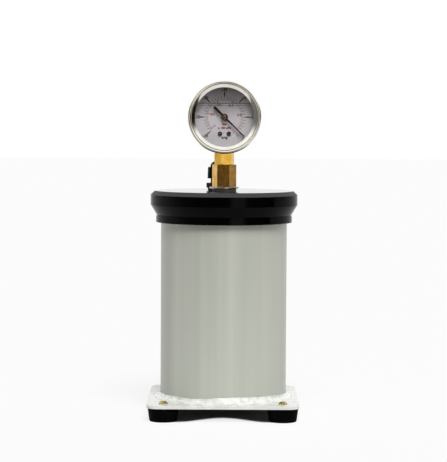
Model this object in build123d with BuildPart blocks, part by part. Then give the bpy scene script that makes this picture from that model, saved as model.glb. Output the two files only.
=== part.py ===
from build123d import *

import os
from math import acos, cos, pi, radians, sin, sqrt, tan

os.makedirs("parts", exist_ok=True)

# A small vacuum chamber: a pipe on a footed plate, closed by a cap that carries a vacuum gauge
# and a check valve. Millimetres, +Z up, front towards -Y, origin on the floor under the pipe's axis.

# ---------------------------------------------------------------- driving sizes: stand and chamber
plate_side = 135.0
plate_thickness = 3.0
plate_corner_radius = 10.0
plate_edge_radius = 0.8

foot_height = 12.3
foot_top_diameter = 27.8
foot_bottom_diameter = 24.5
foot_toe_radius = 1.5
foot_inset = 14.5
foot_web = 5.0
foot_recess_diameter = 11.0

screw_diameter = 4.0
screw_head_diameter = 8.6
screw_head_height = 2.4
screw_tail_past_nut = 0.7
screw_slot_width = 1.1
screw_slot_depth = 1.0
screw_slot_reach = 2.9
foot_washer_diameter = 9.6
foot_washer_thickness = 0.8
foot_nut_across_flats = 7.0
foot_nut_height = 3.2

pipe_diameter = 114.3
pipe_wall = 6.0
pipe_length = 173.0
pipe_edge_chamfer = 0.6

bead_height = 6.2
bead_width = 6.0
bead_lip = 0.6
bead_hollow_radius = 9.6

# ---------------------------------------------------------------- driving sizes: lid and gauge port
lid_top_diameter = 125.4
lid_rim_diameter = 133.4
lid_waist_diameter = 122.4
lid_band_diameter = 123.6
lid_bevel_height = 3.7
lid_rim_height = 9.0
lid_cone_height = 9.2
lid_band_height = 6.6
lid_groove_height = 0.7
lid_edge_radius = 0.5
lid_crown_thickness = 12.0
lid_seal_thickness = 2.0
lid_seal_width = 7.5
lid_travel = 50.0

pipe_thread_diameter = 13.2
nipple_bore_diameter = 8.0
nipple_engagement = 9.0
nipple_tail_past_nut = 1.5
port_gasket_diameter = 22.0
port_gasket_thickness = 2.1
port_washer_diameter = 26.6
port_washer_thickness = 1.5
port_washer_edge = 0.3
coupling_across_flats = 19.05
coupling_length = 20.2
coupling_turn = -5.0
hex_chamfer = 0.8
port_inner_washer_diameter = 24.0
port_inner_washer_thickness = 1.5
port_nut_across_flats = 20.0
port_nut_height = 5.0

# ---------------------------------------------------------------- driving sizes: gauge
gauge_thread_length = 9.5
gauge_hex_across_flats = 15.9
gauge_hex_length = 10.5
gauge_hex_turn = 13.0
gauge_neck_diameter = 12.0
gauge_bore_diameter = 3.6
case_standoff = 1.3
block_gap = 1.7
block_width = 16.0
passage_radius = 0.9
passage_offset = 1.3

case_radius = 31.0
case_wall = 0.7
case_back_depth = 11.5
case_front_depth = -14.5
case_corner_radius = 3.0
case_flange_width = 1.1
socket_hole_radius = 7.2
case_screw_spread = 9.0
case_screw_drop = 21.0
case_screw_radius = 1.1
case_screw_length = 3.0
case_screw_head_radius = 2.1
case_screw_head_height = 1.1
case_screw_slot_width = 0.6
case_screw_slot_depth = 0.5
fill_hole_radius = 3.5
plug_flange = 1.4
plug_grip = 0.7

window_gasket_thickness = 1.0
window_thickness = 3.0
window_inset = 0.5
bezel_sheet = 0.8
bezel_fit = 0.1
bezel_nose = 3.0
bezel_face_width = 6.3
bezel_groove_inset = 3.1
bezel_step = 0.4
bezel_slope_radius = 3.9

dial_gap = 1.1
dial_thickness = 0.8
dial_hole_radius = 1.6
dial_back_depth = -9.6
dial_screw_spread = 8.0
dial_screw_drop = 14.9
dial_screw_head_radius = 2.0
dial_screw_head_height = 1.2
dial_screw_edge = 0.4
dial_post_radius = 1.6

pointer_rest_angle = -44.0
pointer_travel = 270.0
pointer_back_depth = -12.6
pointer_thickness = 0.6
pointer_length = 24.9
pointer_tail = 13.1
pointer_boss_radius = 3.1
needle_root_width = 1.9
needle_tip_width = 0.6
pointer_tail_width = 2.6
pointer_hub_radius = 2.7
hub_flange_thickness = 0.9
hub_neck_radius = 1.4
hub_dome_height = 1.6
stop_pin_angle = -48.8
stop_pin_radius_out = 18.4
stop_pin_radius = 0.6

# ---------------------------------------------------------------- driving sizes: gauge movement
gear_module = 0.3
pinion_teeth = 12
sector_full_teeth = 84
sector_teeth = 13
pressure_angle = 20.0
tooth_backlash = 0.12
tooth_rise = 0.75
tooth_root = 1.15
tooth_embed = 0.05

plate_back_depth = -1.0
movement_plate_thickness = 1.0
movement_plate_gap = 4.6
movement_lobe_radius = 2.6
pillar_spread = 15.0
left_pillar_drop = 18.0
right_pillar_drop = 18.5
top_pillar_rise = 5.5
pillar_radius = 1.2
movement_screw_spread = 7.2
movement_screw_drop = 19.3
movement_screw_head_radius = 1.5
movement_screw_head_height = 0.7
movement_screw_radius = 0.8
movement_screw_length = 1.4

spindle_radius = 0.8
pivot_radius = 0.5
pivot_end = 0.3
spindle_stub = 0.5
pinion_face = 2.2
sector_thickness = 1.0
sector_hub_radius = 2.0
sector_rim_width = 1.8
sector_window_start = 4.0
sector_spoke_teeth = 1.5
sector_arbor_radius = 0.8
tail_radius_out = 5.5
tail_width = 2.4
link_thickness = 0.6
link_width = 2.2
link_pin_radius = 0.5
link_pin_head_radius = 0.9
link_pin_head_height = 0.4
layer_gap = 0.4
tip_clearance = 0.3
block_plate_gap = 0.9
block_arbor_gap = 1.0

spring_inner_radius = 1.4
spring_pitch = 0.8
spring_half_turns = 7
spring_strip = 0.2
spring_height = 0.9
spring_stud_radius = 0.5

bourdon_radius = 21.5
bourdon_section = 2.4
bourdon_edge = 0.7
bourdon_wall = 0.4
bourdon_depth_width = 6.5
bourdon_middle_depth = 3.0
bourdon_root_angle = 250.0
bourdon_tip_angle = -22.0
bourdon_root_slot = 14.0
tip_eye_out = 11.0
tip_eye_drop = 5.0
tip_block_length = 4.6
tip_block_width = 4.4
tip_block_wall = 1.0
tip_overhang_angle = 3.0
tip_grip_angle = 8.0
tip_arm_thickness = 2.0
tip_eye_radius = 1.3
tip_lug_width = 2.1
tip_lug_thickness = 0.8

# ---------------------------------------------------------------- driving sizes: check valve
valve_x = -8.0
valve_y = 27.0
valve_seal_radius = 7.0
valve_seal_thickness = 1.7
valve_hex_across_flats = 14.4
valve_hex_height = 4.5
valve_neck_radius = 4.4
valve_neck_height = 4.1
valve_barrel_top_radius = 7.0
valve_barrel_bottom_radius = 7.4
valve_barrel_height = 10.5
valve_elbow_radius = 4.8
valve_elbow_rise = 0.3
valve_tail_length = 22.0
valve_tail_collar = 1.0
valve_edge_radius = 0.5
valve_tail_radius = 2.6
valve_barb_radius = 3.3
valve_barb_count = 3
valve_barb_pitch = 3.6
valve_bore_radius = 1.6
valve_seat_depth = 4.0
valve_seat_land = 0.8
valve_seat_slope = 0.8
valve_roof_wall = 2.3
valve_rib_height = 1.5
valve_rib_width = 0.8
valve_disc_radius = 3.8
valve_disc_thickness = 1.2
valve_disc_lift = 1.5
valve_shank_radius = 4.75
valve_nut_across_flats = 14.0
valve_nut_height = 4.0
valve_shank_past_nut = 1.0

# ---------------------------------------------------------------- clearances
bolt_clearance = 0.15
thread_fit = 0.05
running_fit = 0.05
press_gap = 0.02
lid_clearance = 0.3
bead_gap = 0.05
same_radius = 0.02

# ---------------------------------------------------------------- heights worked out from the sizes
plate_top = foot_height + plate_thickness
pipe_radius = pipe_diameter / 2
pipe_bore_radius = pipe_radius - pipe_wall
pipe_top = plate_top + pipe_length
crown_bottom = pipe_top + lid_seal_thickness
lid_top = crown_bottom + lid_crown_thickness
lid_height = lid_bevel_height + lid_rim_height + lid_cone_height + lid_band_height
lid_bottom = lid_top - lid_height
port_thread_radius = pipe_thread_diameter / 2
gasket_top = lid_top + port_gasket_thickness
washer_top = gasket_top + port_washer_thickness
coupling_top = washer_top + coupling_length
gauge_axis = coupling_top + gauge_hex_length + case_standoff + case_radius
foot_spacing = plate_side - 2 * foot_inset

# ---------------------------------------------------------------- gauge radii and layers along Y
case_inner_radius = case_radius - case_wall
case_flange_radius = case_radius + case_flange_width
window_radius = case_flange_radius - window_inset
bezel_inner_radius = case_flange_radius + bezel_fit
bezel_radius = bezel_inner_radius + bezel_sheet
bezel_opening_radius = bezel_radius - bezel_face_width
bezel_groove_radius = bezel_radius - bezel_groove_inset
dial_radius = case_inner_radius - dial_gap

gasket_front_depth = case_front_depth - window_gasket_thickness
window_front_depth = gasket_front_depth - window_thickness
bezel_front_depth = window_front_depth - bezel_nose
back_plate_front = plate_back_depth - movement_plate_thickness
front_plate_back = back_plate_front - movement_plate_gap
front_plate_front = front_plate_back - movement_plate_thickness
pinion_back = back_plate_front - layer_gap
sector_back = pinion_back - (pinion_face - sector_thickness) / 2
sector_front = sector_back - sector_thickness
link_back = sector_front - layer_gap
lug_back_depth = link_back - link_thickness - tip_clearance
spring_back = pinion_back - pinion_face - layer_gap
spindle_front = pointer_back_depth - pointer_thickness - spindle_stub

pinion_pitch_radius = gear_module * pinion_teeth / 2
sector_pitch_radius = gear_module * sector_full_teeth / 2
sector_pivot = (0.0, -(pinion_pitch_radius + sector_pitch_radius))
sector_swing = pointer_travel * pinion_teeth / sector_full_teeth
sector_rest_angle = 90 + sector_swing / 2
tail_rest_angle = sector_rest_angle - 90
pillar_spots = [
    (-pillar_spread / 2, -left_pillar_drop),
    (pillar_spread / 2, -right_pillar_drop),
    (0.0, top_pillar_rise),
]
screw_spots = [
    (-movement_screw_spread / 2, -movement_screw_drop),
    (movement_screw_spread / 2, -movement_screw_drop),
]
case_screw_spots = [
    (-case_screw_spread / 2, -case_screw_drop),
    (case_screw_spread / 2, -case_screw_drop),
]
post_spots = [(-dial_screw_spread / 2, -dial_screw_drop), (dial_screw_spread / 2, -dial_screw_drop)]
tip_eye = (tip_eye_out, -tip_eye_drop)


def gauge_plane(depth):
    """Plane across the gauge at a depth along Y: drawn as seen from the front, growing forwards."""
    return Plane(origin=(0, depth, gauge_axis), x_dir=(1, 0, 0), z_dir=(0, -1, 0))


def arm_plane(depth, pivot, angle):
    """Plane like gauge_plane with its origin on a pivot and its X axis turned to an angle."""
    return Plane(
        origin=(pivot[0], depth, gauge_axis + pivot[1]),
        x_dir=(cos(radians(angle)), 0, sin(radians(angle))),
        z_dir=(0, -1, 0),
    )


def polar(radius, angle):
    """Point at a radius and an angle in degrees."""
    return (radius * cos(radians(angle)), radius * sin(radians(angle)))


def shifted(point, by):
    """Point moved by a second point."""
    return (point[0] + by[0], point[1] + by[1])


# ================================================================ stand
with BuildPart() as base_plate:
    with BuildSketch(Plane.XY.offset(foot_height)):
        RectangleRounded(plate_side, plate_side, plate_corner_radius)
        with GridLocations(foot_spacing, foot_spacing, 2, 2):
            Circle(screw_diameter / 2 + bolt_clearance, mode=Mode.SUBTRACT)
    extrude(amount=plate_thickness)
    rim_edges = base_plate.faces().sort_by(Axis.Z)[-1].outer_wire().edges()
    fillet(rim_edges, plate_edge_radius)
base_plate.part.label = "base_plate"
export_step(base_plate.part, "parts/base_plate.step")

foot_names = {
    "foot_front_left": (-1, -1),
    "foot_front_right": (1, -1),
    "foot_rear_left": (-1, 1),
    "foot_rear_right": (1, 1),
}
for foot_name, (side, rank) in foot_names.items():
    foot_x = side * foot_spacing / 2
    foot_y = rank * foot_spacing / 2
    with BuildPart() as foot:
        with BuildSketch(Plane(origin=(foot_x, foot_y, 0), x_dir=(1, 0, 0), z_dir=(0, -1, 0))):
            with BuildLine():
                Polyline(
                    (foot_recess_diameter / 2, 0),
                    (foot_bottom_diameter / 2, 0),
                    (foot_top_diameter / 2, foot_height),
                    (screw_diameter / 2 + bolt_clearance, foot_height),
                    (screw_diameter / 2 + bolt_clearance, foot_height - foot_web),
                    (foot_recess_diameter / 2, foot_height - foot_web),
                    close=True,
                )
            make_face()
        revolve(axis=Axis((foot_x, foot_y, 0), (0, 0, 1)))
        toe = foot.edges().filter_by(GeomType.CIRCLE).group_by(Axis.Z)[0].sort_by(SortBy.RADIUS)[-1]
        fillet(toe, foot_toe_radius)
    foot.part.label = foot_name
    export_step(foot.part, f"parts/{foot_name}.step")

web_bottom = foot_height - foot_web
foot_nut_top = web_bottom - foot_washer_thickness
foot_nut_bottom = foot_nut_top - foot_nut_height
head_sphere = (screw_head_height**2 + (screw_head_diameter / 2) ** 2) / (2 * screw_head_height)
with BuildPart() as domed_head:
    with BuildSketch(Plane.XZ):
        with BuildLine():
            Line((0, 0), (screw_head_diameter / 2, 0))
            RadiusArc((screw_head_diameter / 2, 0), (0, screw_head_height), -head_sphere)
            Line((0, screw_head_height), (0, 0))
        make_face()
    revolve(axis=Axis.Z)
    with BuildSketch(Plane.XY.offset(screw_head_height)):
        Rectangle(screw_head_diameter, screw_slot_width)
        Rectangle(screw_slot_width, screw_head_diameter)
        Rectangle(screw_head_diameter, screw_head_diameter, mode=Mode.INTERSECT)
        Circle(screw_slot_reach, mode=Mode.INTERSECT)
    extrude(amount=-screw_slot_depth, mode=Mode.SUBTRACT)

with BuildPart() as foot_screws:
    with BuildSketch(Plane.XY.offset(foot_nut_bottom - screw_tail_past_nut)):
        with GridLocations(foot_spacing, foot_spacing, 2, 2):
            Circle(screw_diameter / 2)
    extrude(amount=plate_top - foot_nut_bottom + screw_tail_past_nut)
    with Locations(Plane.XY.offset(plate_top)):
        with GridLocations(foot_spacing, foot_spacing, 2, 2):
            add(domed_head.part)
foot_screws.part.label = "foot_screws"
export_step(foot_screws.part, "parts/foot_screws.step")

with BuildPart() as foot_washers:
    with BuildSketch(Plane.XY.offset(foot_nut_top)):
        with GridLocations(foot_spacing, foot_spacing, 2, 2):
            Circle(foot_washer_diameter / 2)
            Circle(screw_diameter / 2 + bolt_clearance, mode=Mode.SUBTRACT)
    extrude(amount=foot_washer_thickness)
foot_washers.part.label = "foot_washers"
export_step(foot_washers.part, "parts/foot_washers.step")

with BuildPart() as foot_nuts:
    with BuildSketch(Plane.XY.offset(foot_nut_bottom)):
        with GridLocations(foot_spacing, foot_spacing, 2, 2):
            RegularPolygon(foot_nut_across_flats / 2, 6, major_radius=False)
            Circle(screw_diameter / 2 + thread_fit, mode=Mode.SUBTRACT)
    extrude(amount=foot_nut_height)
foot_nuts.part.label = "foot_nuts"
export_step(foot_nuts.part, "parts/foot_nuts.step")

# ================================================================ chamber
with BuildPart() as chamber_tube:
    with BuildSketch(Plane.XY.offset(plate_top)):
        Circle(pipe_radius)
        Circle(pipe_bore_radius, mode=Mode.SUBTRACT)
    extrude(amount=pipe_length)
    chamfer(chamber_tube.edges().group_by(Axis.Z)[-1], pipe_edge_chamfer)
chamber_tube.part.label = "chamber_tube"
export_step(chamber_tube.part, "parts/chamber_tube.step")

bead_inner = pipe_radius + bead_gap
bead_outer = bead_inner + bead_width
with BuildPart() as sealant_bead:
    with BuildSketch(Plane.XZ):
        with BuildLine():
            Line((bead_inner, plate_top), (bead_outer, plate_top))
            Line((bead_outer, plate_top), (bead_outer, plate_top + bead_lip))
            RadiusArc(
                (bead_outer, plate_top + bead_lip),
                (bead_inner + bead_lip, plate_top + bead_height),
                bead_hollow_radius,
            )
            Line((bead_inner + bead_lip, plate_top + bead_height), (bead_inner, plate_top + bead_height))
            Line((bead_inner, plate_top + bead_height), (bead_inner, plate_top))
        make_face()
    revolve(axis=Axis.Z)
sealant_bead.part.label = "sealant_bead"
export_step(sealant_bead.part, "parts/sealant_bead.step")

# ================================================================ lid
lid_bore_radius = pipe_radius + lid_clearance
rim_top = lid_top - lid_bevel_height
rim_bottom = rim_top - lid_rim_height
waist_height = rim_bottom - lid_cone_height
with BuildPart() as lid:
    with BuildSketch(Plane.XZ):
        with BuildLine():
            Polyline(
                (0, lid_top),
                (lid_top_diameter / 2, lid_top),
                (lid_rim_diameter / 2, rim_top),
                (lid_rim_diameter / 2, rim_bottom),
                (lid_waist_diameter / 2, waist_height),
                (lid_waist_diameter / 2, waist_height - lid_groove_height),
                (lid_band_diameter / 2, waist_height - lid_groove_height),
                (lid_band_diameter / 2, lid_bottom),
                (lid_bore_radius, lid_bottom),
                (lid_bore_radius, crown_bottom),
                (0, crown_bottom),
                close=True,
            )
        make_face()
    revolve(axis=Axis.Z)
    with Locations((0, 0, lid_top)):
        Hole(port_thread_radius + bolt_clearance)
    with Locations((valve_x, valve_y, lid_top)):
        Hole(valve_shank_radius + bolt_clearance)
    outer_edges = lid.edges().filter_by(GeomType.CIRCLE).sort_by(SortBy.RADIUS)
    top_ring = [edge for edge in outer_edges if abs(edge.radius - lid_top_diameter / 2) < same_radius]
    rim_rings = [edge for edge in outer_edges if abs(edge.radius - lid_rim_diameter / 2) < same_radius]
    band_rings = [edge for edge in outer_edges if abs(edge.radius - lid_band_diameter / 2) < same_radius]
    band_foot = ShapeList(band_rings).sort_by(Axis.Z)[0]
    fillet(top_ring + rim_rings + [band_foot], lid_edge_radius)
lid.part.label = "lid"
export_step(lid.part, "parts/lid.step")

seal_outer = lid_bore_radius - press_gap
with BuildPart() as lid_seal_ring:
    with BuildSketch(Plane.XY.offset(pipe_top)):
        Circle(seal_outer)
        Circle(seal_outer - lid_seal_width, mode=Mode.SUBTRACT)
    extrude(amount=lid_seal_thickness)
lid_seal_ring.part.label = "lid_seal_ring"
export_step(lid_seal_ring.part, "parts/lid_seal_ring.step")

# ================================================================ gauge port through the lid
with BuildPart() as port_gasket:
    with BuildSketch(Plane.XY.offset(lid_top)):
        Circle(port_gasket_diameter / 2)
        Circle(port_thread_radius + bolt_clearance, mode=Mode.SUBTRACT)
    extrude(amount=port_gasket_thickness)
port_gasket.part.label = "port_gasket"
export_step(port_gasket.part, "parts/port_gasket.step")

with BuildPart() as port_washer:
    with BuildSketch(Plane.XY.offset(gasket_top)):
        Circle(port_washer_diameter / 2)
        Circle(port_thread_radius + bolt_clearance, mode=Mode.SUBTRACT)
    extrude(amount=port_washer_thickness)
    chamfer(port_washer.faces().sort_by(Axis.Z)[-1].outer_wire().edges(), port_washer_edge)
port_washer.part.label = "port_washer"
export_step(port_washer.part, "parts/port_washer.step")

port_nut_top = crown_bottom - port_inner_washer_thickness
port_nut_bottom = port_nut_top - port_nut_height
nipple_bottom = port_nut_bottom - nipple_tail_past_nut
nipple_top = washer_top + nipple_engagement
with BuildPart() as port_nipple:
    with BuildSketch(Plane.XY.offset(nipple_bottom)):
        Circle(port_thread_radius)
        Circle(nipple_bore_diameter / 2, mode=Mode.SUBTRACT)
    extrude(amount=nipple_top - nipple_bottom)
    ends = port_nipple.edges().filter_by(GeomType.CIRCLE).sort_by(SortBy.RADIUS)[-2:]
    chamfer(ends, hex_chamfer)
port_nipple.part.label = "port_nipple"
export_step(port_nipple.part, "parts/port_nipple.step")

with BuildPart() as port_inner_washer:
    with BuildSketch(Plane.XY.offset(port_nut_top)):
        Circle(port_inner_washer_diameter / 2)
        Circle(port_thread_radius + bolt_clearance, mode=Mode.SUBTRACT)
    extrude(amount=port_inner_washer_thickness)
port_inner_washer.part.label = "port_inner_washer"
export_step(port_inner_washer.part, "parts/port_inner_washer.step")

with BuildPart() as port_locknut:
    with BuildSketch(Plane.XY.offset(port_nut_bottom)):
        RegularPolygon(port_nut_across_flats / 2, 6, major_radius=False)
        Circle(port_thread_radius + thread_fit, mode=Mode.SUBTRACT)
    extrude(amount=port_nut_height)
port_locknut.part.label = "port_locknut"
export_step(port_locknut.part, "parts/port_locknut.step")


def chamfered_hex(across_flats, bottom, height, turn):
    """Hexagonal bar whose two ends are turned to a cone, as a hex fitting is."""
    corner = across_flats / sqrt(3)
    with BuildPart(mode=Mode.PRIVATE) as bar:
        with BuildSketch(Plane.XY.offset(bottom)):
            RegularPolygon(across_flats / 2, 6, major_radius=False, rotation=turn)
        extrude(amount=height)
        with BuildSketch(Plane.XZ):
            with BuildLine():
                Polyline(
                    (0, bottom),
                    (corner - hex_chamfer, bottom),
                    (corner, bottom + hex_chamfer / 2),
                    (corner, bottom + height - hex_chamfer / 2),
                    (corner - hex_chamfer, bottom + height),
                    (0, bottom + height),
                    close=True,
                )
            make_face()
        revolve(axis=Axis.Z, mode=Mode.INTERSECT)
    return bar.part


coupling_bar = chamfered_hex(coupling_across_flats, washer_top, coupling_length, coupling_turn)
with BuildPart() as brass_coupling:
    add(coupling_bar)
    with Locations((0, 0, coupling_top)):
        Hole(port_thread_radius + thread_fit)
brass_coupling.part.label = "brass_coupling"
export_step(brass_coupling.part, "parts/brass_coupling.step")

# ================================================================ check valve
valve_axis = Axis((valve_x, valve_y, 0), (0, 0, 1))
valve_section = Plane(origin=(valve_x, valve_y, 0), x_dir=(1, 0, 0), z_dir=(0, -1, 0))
valve_hex_bottom = lid_top + valve_seal_thickness
valve_hex_top = valve_hex_bottom + valve_hex_height
barrel_bottom = valve_hex_top + valve_neck_height
barrel_top = barrel_bottom + valve_barrel_height
seat_height = barrel_bottom + valve_seat_depth
valve_nut_bottom = crown_bottom - valve_nut_height
shank_bottom = valve_nut_bottom - valve_shank_past_nut
tail_height = barrel_top + valve_elbow_rise
roof_height = barrel_top - valve_roof_wall

with BuildPart() as valve_seal_ring:
    with BuildSketch(Plane.XY.offset(lid_top)):
        with Locations((valve_x, valve_y)):
            Circle(valve_seal_radius)
            Circle(valve_shank_radius + bolt_clearance, mode=Mode.SUBTRACT)
    extrude(amount=valve_seal_thickness)
valve_seal_ring.part.label = "valve_seal_ring"
export_step(valve_seal_ring.part, "parts/valve_seal_ring.step")

with BuildPart() as valve_base:
    with BuildSketch(valve_section):
        with BuildLine():
            Polyline(
                (valve_bore_radius, shank_bottom),
                (valve_shank_radius, shank_bottom),
                (valve_shank_radius, valve_hex_bottom),
                (valve_neck_radius, valve_hex_bottom),
                (valve_neck_radius, seat_height - valve_seat_slope),
                (valve_bore_radius + valve_seat_land + valve_seat_slope, seat_height - valve_seat_slope),
                (valve_bore_radius + valve_seat_land, seat_height),
                (valve_bore_radius, seat_height),
                close=True,
            )
        make_face()
    revolve(axis=valve_axis)
    with BuildSketch(Plane.XY.offset(valve_hex_bottom)):
        with Locations((valve_x, valve_y)):
            RegularPolygon(valve_hex_across_flats / 2, 6, major_radius=False)
            Circle(valve_bore_radius, mode=Mode.SUBTRACT)
    extrude(amount=valve_hex_height)
valve_base.part.label = "valve_base"
export_step(valve_base.part, "parts/valve_base.step")

with BuildPart() as valve_body:
    with BuildSketch(valve_section):
        with BuildLine():
            Polyline(
                (0, barrel_bottom),
                (valve_barrel_bottom_radius, barrel_bottom),
                (valve_barrel_top_radius, barrel_top),
                (valve_elbow_radius, barrel_top),
                (valve_elbow_radius, tail_height),
                (0, tail_height),
                close=True,
            )
        make_face()
    revolve(axis=valve_axis)
    barrel_rim = valve_body.edges().filter_by(GeomType.CIRCLE)
    shoulder = [edge for edge in barrel_rim if abs(edge.radius - valve_barrel_top_radius) < same_radius]
    fillet(shoulder, valve_edge_radius)
    with Locations((valve_x, valve_y, tail_height)):
        Sphere(valve_elbow_radius)
    with BuildSketch(Plane(origin=(valve_x, valve_y, tail_height), x_dir=(1, 0, 0), z_dir=(0, 1, 0))):
        Circle(valve_elbow_radius)
    barb_start = valve_barrel_bottom_radius + valve_tail_collar
    extrude(amount=barb_start)
    with BuildSketch(Plane(origin=(valve_x, 0, tail_height), x_dir=(0, 1, 0), z_dir=(1, 0, 0))):
        with BuildLine():
            barb_first = valve_y + valve_tail_length - valve_barb_count * valve_barb_pitch
            tail_profile = [(valve_y + barb_start, 0), (valve_y + barb_start, valve_tail_radius)]
            tail_profile.append((barb_first, valve_tail_radius))
            for barb in range(valve_barb_count):
                barb_foot = barb_first + barb * valve_barb_pitch
                tail_profile.append((barb_foot, valve_barb_radius))
                tail_profile.append((barb_foot + valve_barb_pitch, valve_tail_radius))
            tail_profile.append((valve_y + valve_tail_length, 0))
            Polyline(*tail_profile, close=True)
        make_face()
    revolve(axis=Axis((valve_x, 0, tail_height), (0, 1, 0)))
    with BuildSketch(valve_section):
        with BuildLine():
            Polyline(
                (0, barrel_bottom),
                (valve_neck_radius + press_gap, barrel_bottom),
                (valve_neck_radius + press_gap, roof_height),
                (valve_bore_radius, roof_height),
                (valve_bore_radius, tail_height),
                (0, tail_height),
                close=True,
            )
        make_face()
    revolve(axis=valve_axis, mode=Mode.SUBTRACT)
    with BuildSketch(Plane(origin=(valve_x, valve_y, tail_height), x_dir=(1, 0, 0), z_dir=(0, 1, 0))):
        Circle(valve_bore_radius)
    extrude(amount=valve_tail_length, mode=Mode.SUBTRACT)
    with BuildSketch(Plane.XY.offset(roof_height - valve_rib_height)):
        with Locations((valve_x, valve_y)):
            with PolarLocations((valve_neck_radius + valve_bore_radius + valve_rib_width) / 2, 3):
                Rectangle(valve_neck_radius - valve_bore_radius, valve_rib_width)
            Circle(valve_neck_radius + valve_rib_width, mode=Mode.INTERSECT)
    extrude(amount=valve_rib_height + press_gap)
valve_body.part.label = "valve_body"
export_step(valve_body.part, "parts/valve_body.step")

with BuildPart() as valve_disc:
    with BuildSketch(Plane.XY.offset(seat_height)):
        with Locations((valve_x, valve_y)):
            Circle(valve_disc_radius)
    extrude(amount=valve_disc_thickness)
valve_disc.part.label = "valve_disc"
export_step(valve_disc.part, "parts/valve_disc.step")

with BuildPart() as valve_locknut:
    with BuildSketch(Plane.XY.offset(valve_nut_bottom)):
        with Locations((valve_x, valve_y)):
            RegularPolygon(valve_nut_across_flats / 2, 6, major_radius=False)
            Circle(valve_shank_radius + thread_fit, mode=Mode.SUBTRACT)
    extrude(amount=valve_nut_height)
valve_locknut.part.label = "valve_locknut"
export_step(valve_locknut.part, "parts/valve_locknut.step")

# ================================================================ gauge: case, window and bezel
gauge_axis_line = Axis((0, 0, gauge_axis), (0, 1, 0))
side_section = Plane(origin=(0, 0, gauge_axis), x_dir=(0, 1, 0), z_dir=(1, 0, 0))
with BuildPart() as gauge_case:
    with BuildSketch(side_section):
        with BuildLine():
            Polyline(
                (case_back_depth, 0),
                (case_back_depth, case_radius),
                (case_front_depth + case_wall, case_radius),
                (case_front_depth + case_wall, case_flange_radius),
                (case_front_depth, case_flange_radius),
                (case_front_depth, case_inner_radius),
                (case_back_depth - case_wall, case_inner_radius),
                (case_back_depth - case_wall, 0),
                close=True,
            )
        make_face()
    revolve(axis=gauge_axis_line)
    back_rings = gauge_case.edges().filter_by(GeomType.CIRCLE).group_by(Axis.Y)
    fillet(back_rings[-1].sort_by(SortBy.RADIUS)[-1], case_corner_radius)
    fillet(
        [
            edge
            for edge in gauge_case.edges().filter_by(GeomType.CIRCLE)
            if abs(edge.radius - case_inner_radius) < same_radius and edge.center().Y > 0
        ],
        case_corner_radius - case_wall,
    )
    with BuildSketch(Plane.XY.offset(gauge_axis - case_radius)):
        Circle(socket_hole_radius)
    extrude(amount=case_radius / 2, both=True, mode=Mode.SUBTRACT)
    with BuildSketch(Plane.XY.offset(gauge_axis + case_radius)):
        Circle(fill_hole_radius)
    extrude(amount=case_radius / 2, both=True, mode=Mode.SUBTRACT)
    with BuildSketch(gauge_plane(case_back_depth)):
        with Locations(*case_screw_spots):
            Circle(case_screw_radius + bolt_clearance)
    extrude(amount=case_wall, mode=Mode.SUBTRACT)
gauge_case.part.label = "gauge_case"
export_step(gauge_case.part, "parts/gauge_case.step")

with BuildPart() as fill_plug:
    with BuildSketch(Plane.XZ):
        with BuildLine():
            plug_neck = gauge_axis + case_inner_radius - plug_grip
            plug_shoulder = gauge_axis + case_radius + press_gap
            Polyline(
                (0, plug_neck - plug_grip),
                (fill_hole_radius + plug_grip, plug_neck - plug_grip),
                (fill_hole_radius - running_fit, plug_neck),
                (fill_hole_radius - running_fit, plug_shoulder),
                (fill_hole_radius + plug_flange, plug_shoulder),
                (fill_hole_radius + plug_grip, plug_shoulder + plug_flange),
                (0, plug_shoulder + plug_flange),
                close=True,
            )
        make_face()
    revolve(axis=Axis.Z)
fill_plug.part.label = "fill_plug"
export_step(fill_plug.part, "parts/fill_plug.step")

with BuildPart() as window_gasket:
    with BuildSketch(gauge_plane(case_front_depth)):
        Circle(window_radius)
        Circle(case_inner_radius, mode=Mode.SUBTRACT)
    extrude(amount=window_gasket_thickness)
window_gasket.part.label = "window_gasket"
export_step(window_gasket.part, "parts/window_gasket.step")

with BuildPart() as gauge_window:
    with BuildSketch(gauge_plane(gasket_front_depth)):
        Circle(window_radius)
    extrude(amount=window_thickness)
gauge_window.part.label = "gauge_window"
export_step(gauge_window.part, "parts/gauge_window.step")

bezel_roll = (bezel_radius - bezel_groove_radius) / 2
bezel_back_depth = case_front_depth + case_wall + bezel_sheet
with BuildPart() as gauge_bezel:
    with BuildSketch(side_section):
        with BuildLine():
            Line((bezel_back_depth, bezel_radius), (bezel_front_depth + bezel_roll, bezel_radius))
            ThreePointArc(
                (bezel_front_depth + bezel_roll, bezel_radius),
                (bezel_front_depth, bezel_radius - bezel_roll),
                (bezel_front_depth + bezel_roll, bezel_groove_radius),
            )
            Line(
                (bezel_front_depth + bezel_roll, bezel_groove_radius),
                (bezel_front_depth + 2 * bezel_step, bezel_groove_radius - bezel_step),
            )
            RadiusArc(
                (bezel_front_depth + 2 * bezel_step, bezel_groove_radius - bezel_step),
                (window_front_depth - bezel_sheet, bezel_opening_radius),
                bezel_slope_radius,
            )
            Polyline(
                (window_front_depth - bezel_sheet, bezel_opening_radius),
                (window_front_depth, bezel_opening_radius),
                (window_front_depth, bezel_inner_radius),
                (case_front_depth + case_wall, bezel_inner_radius),
                (case_front_depth + case_wall, case_radius + bezel_sheet),
                (bezel_back_depth, case_radius + bezel_sheet),
                (bezel_back_depth, bezel_radius),
            )
        make_face()
    revolve(axis=gauge_axis_line)
gauge_bezel.part.label = "gauge_bezel"
export_step(gauge_bezel.part, "parts/gauge_bezel.step")

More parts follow.
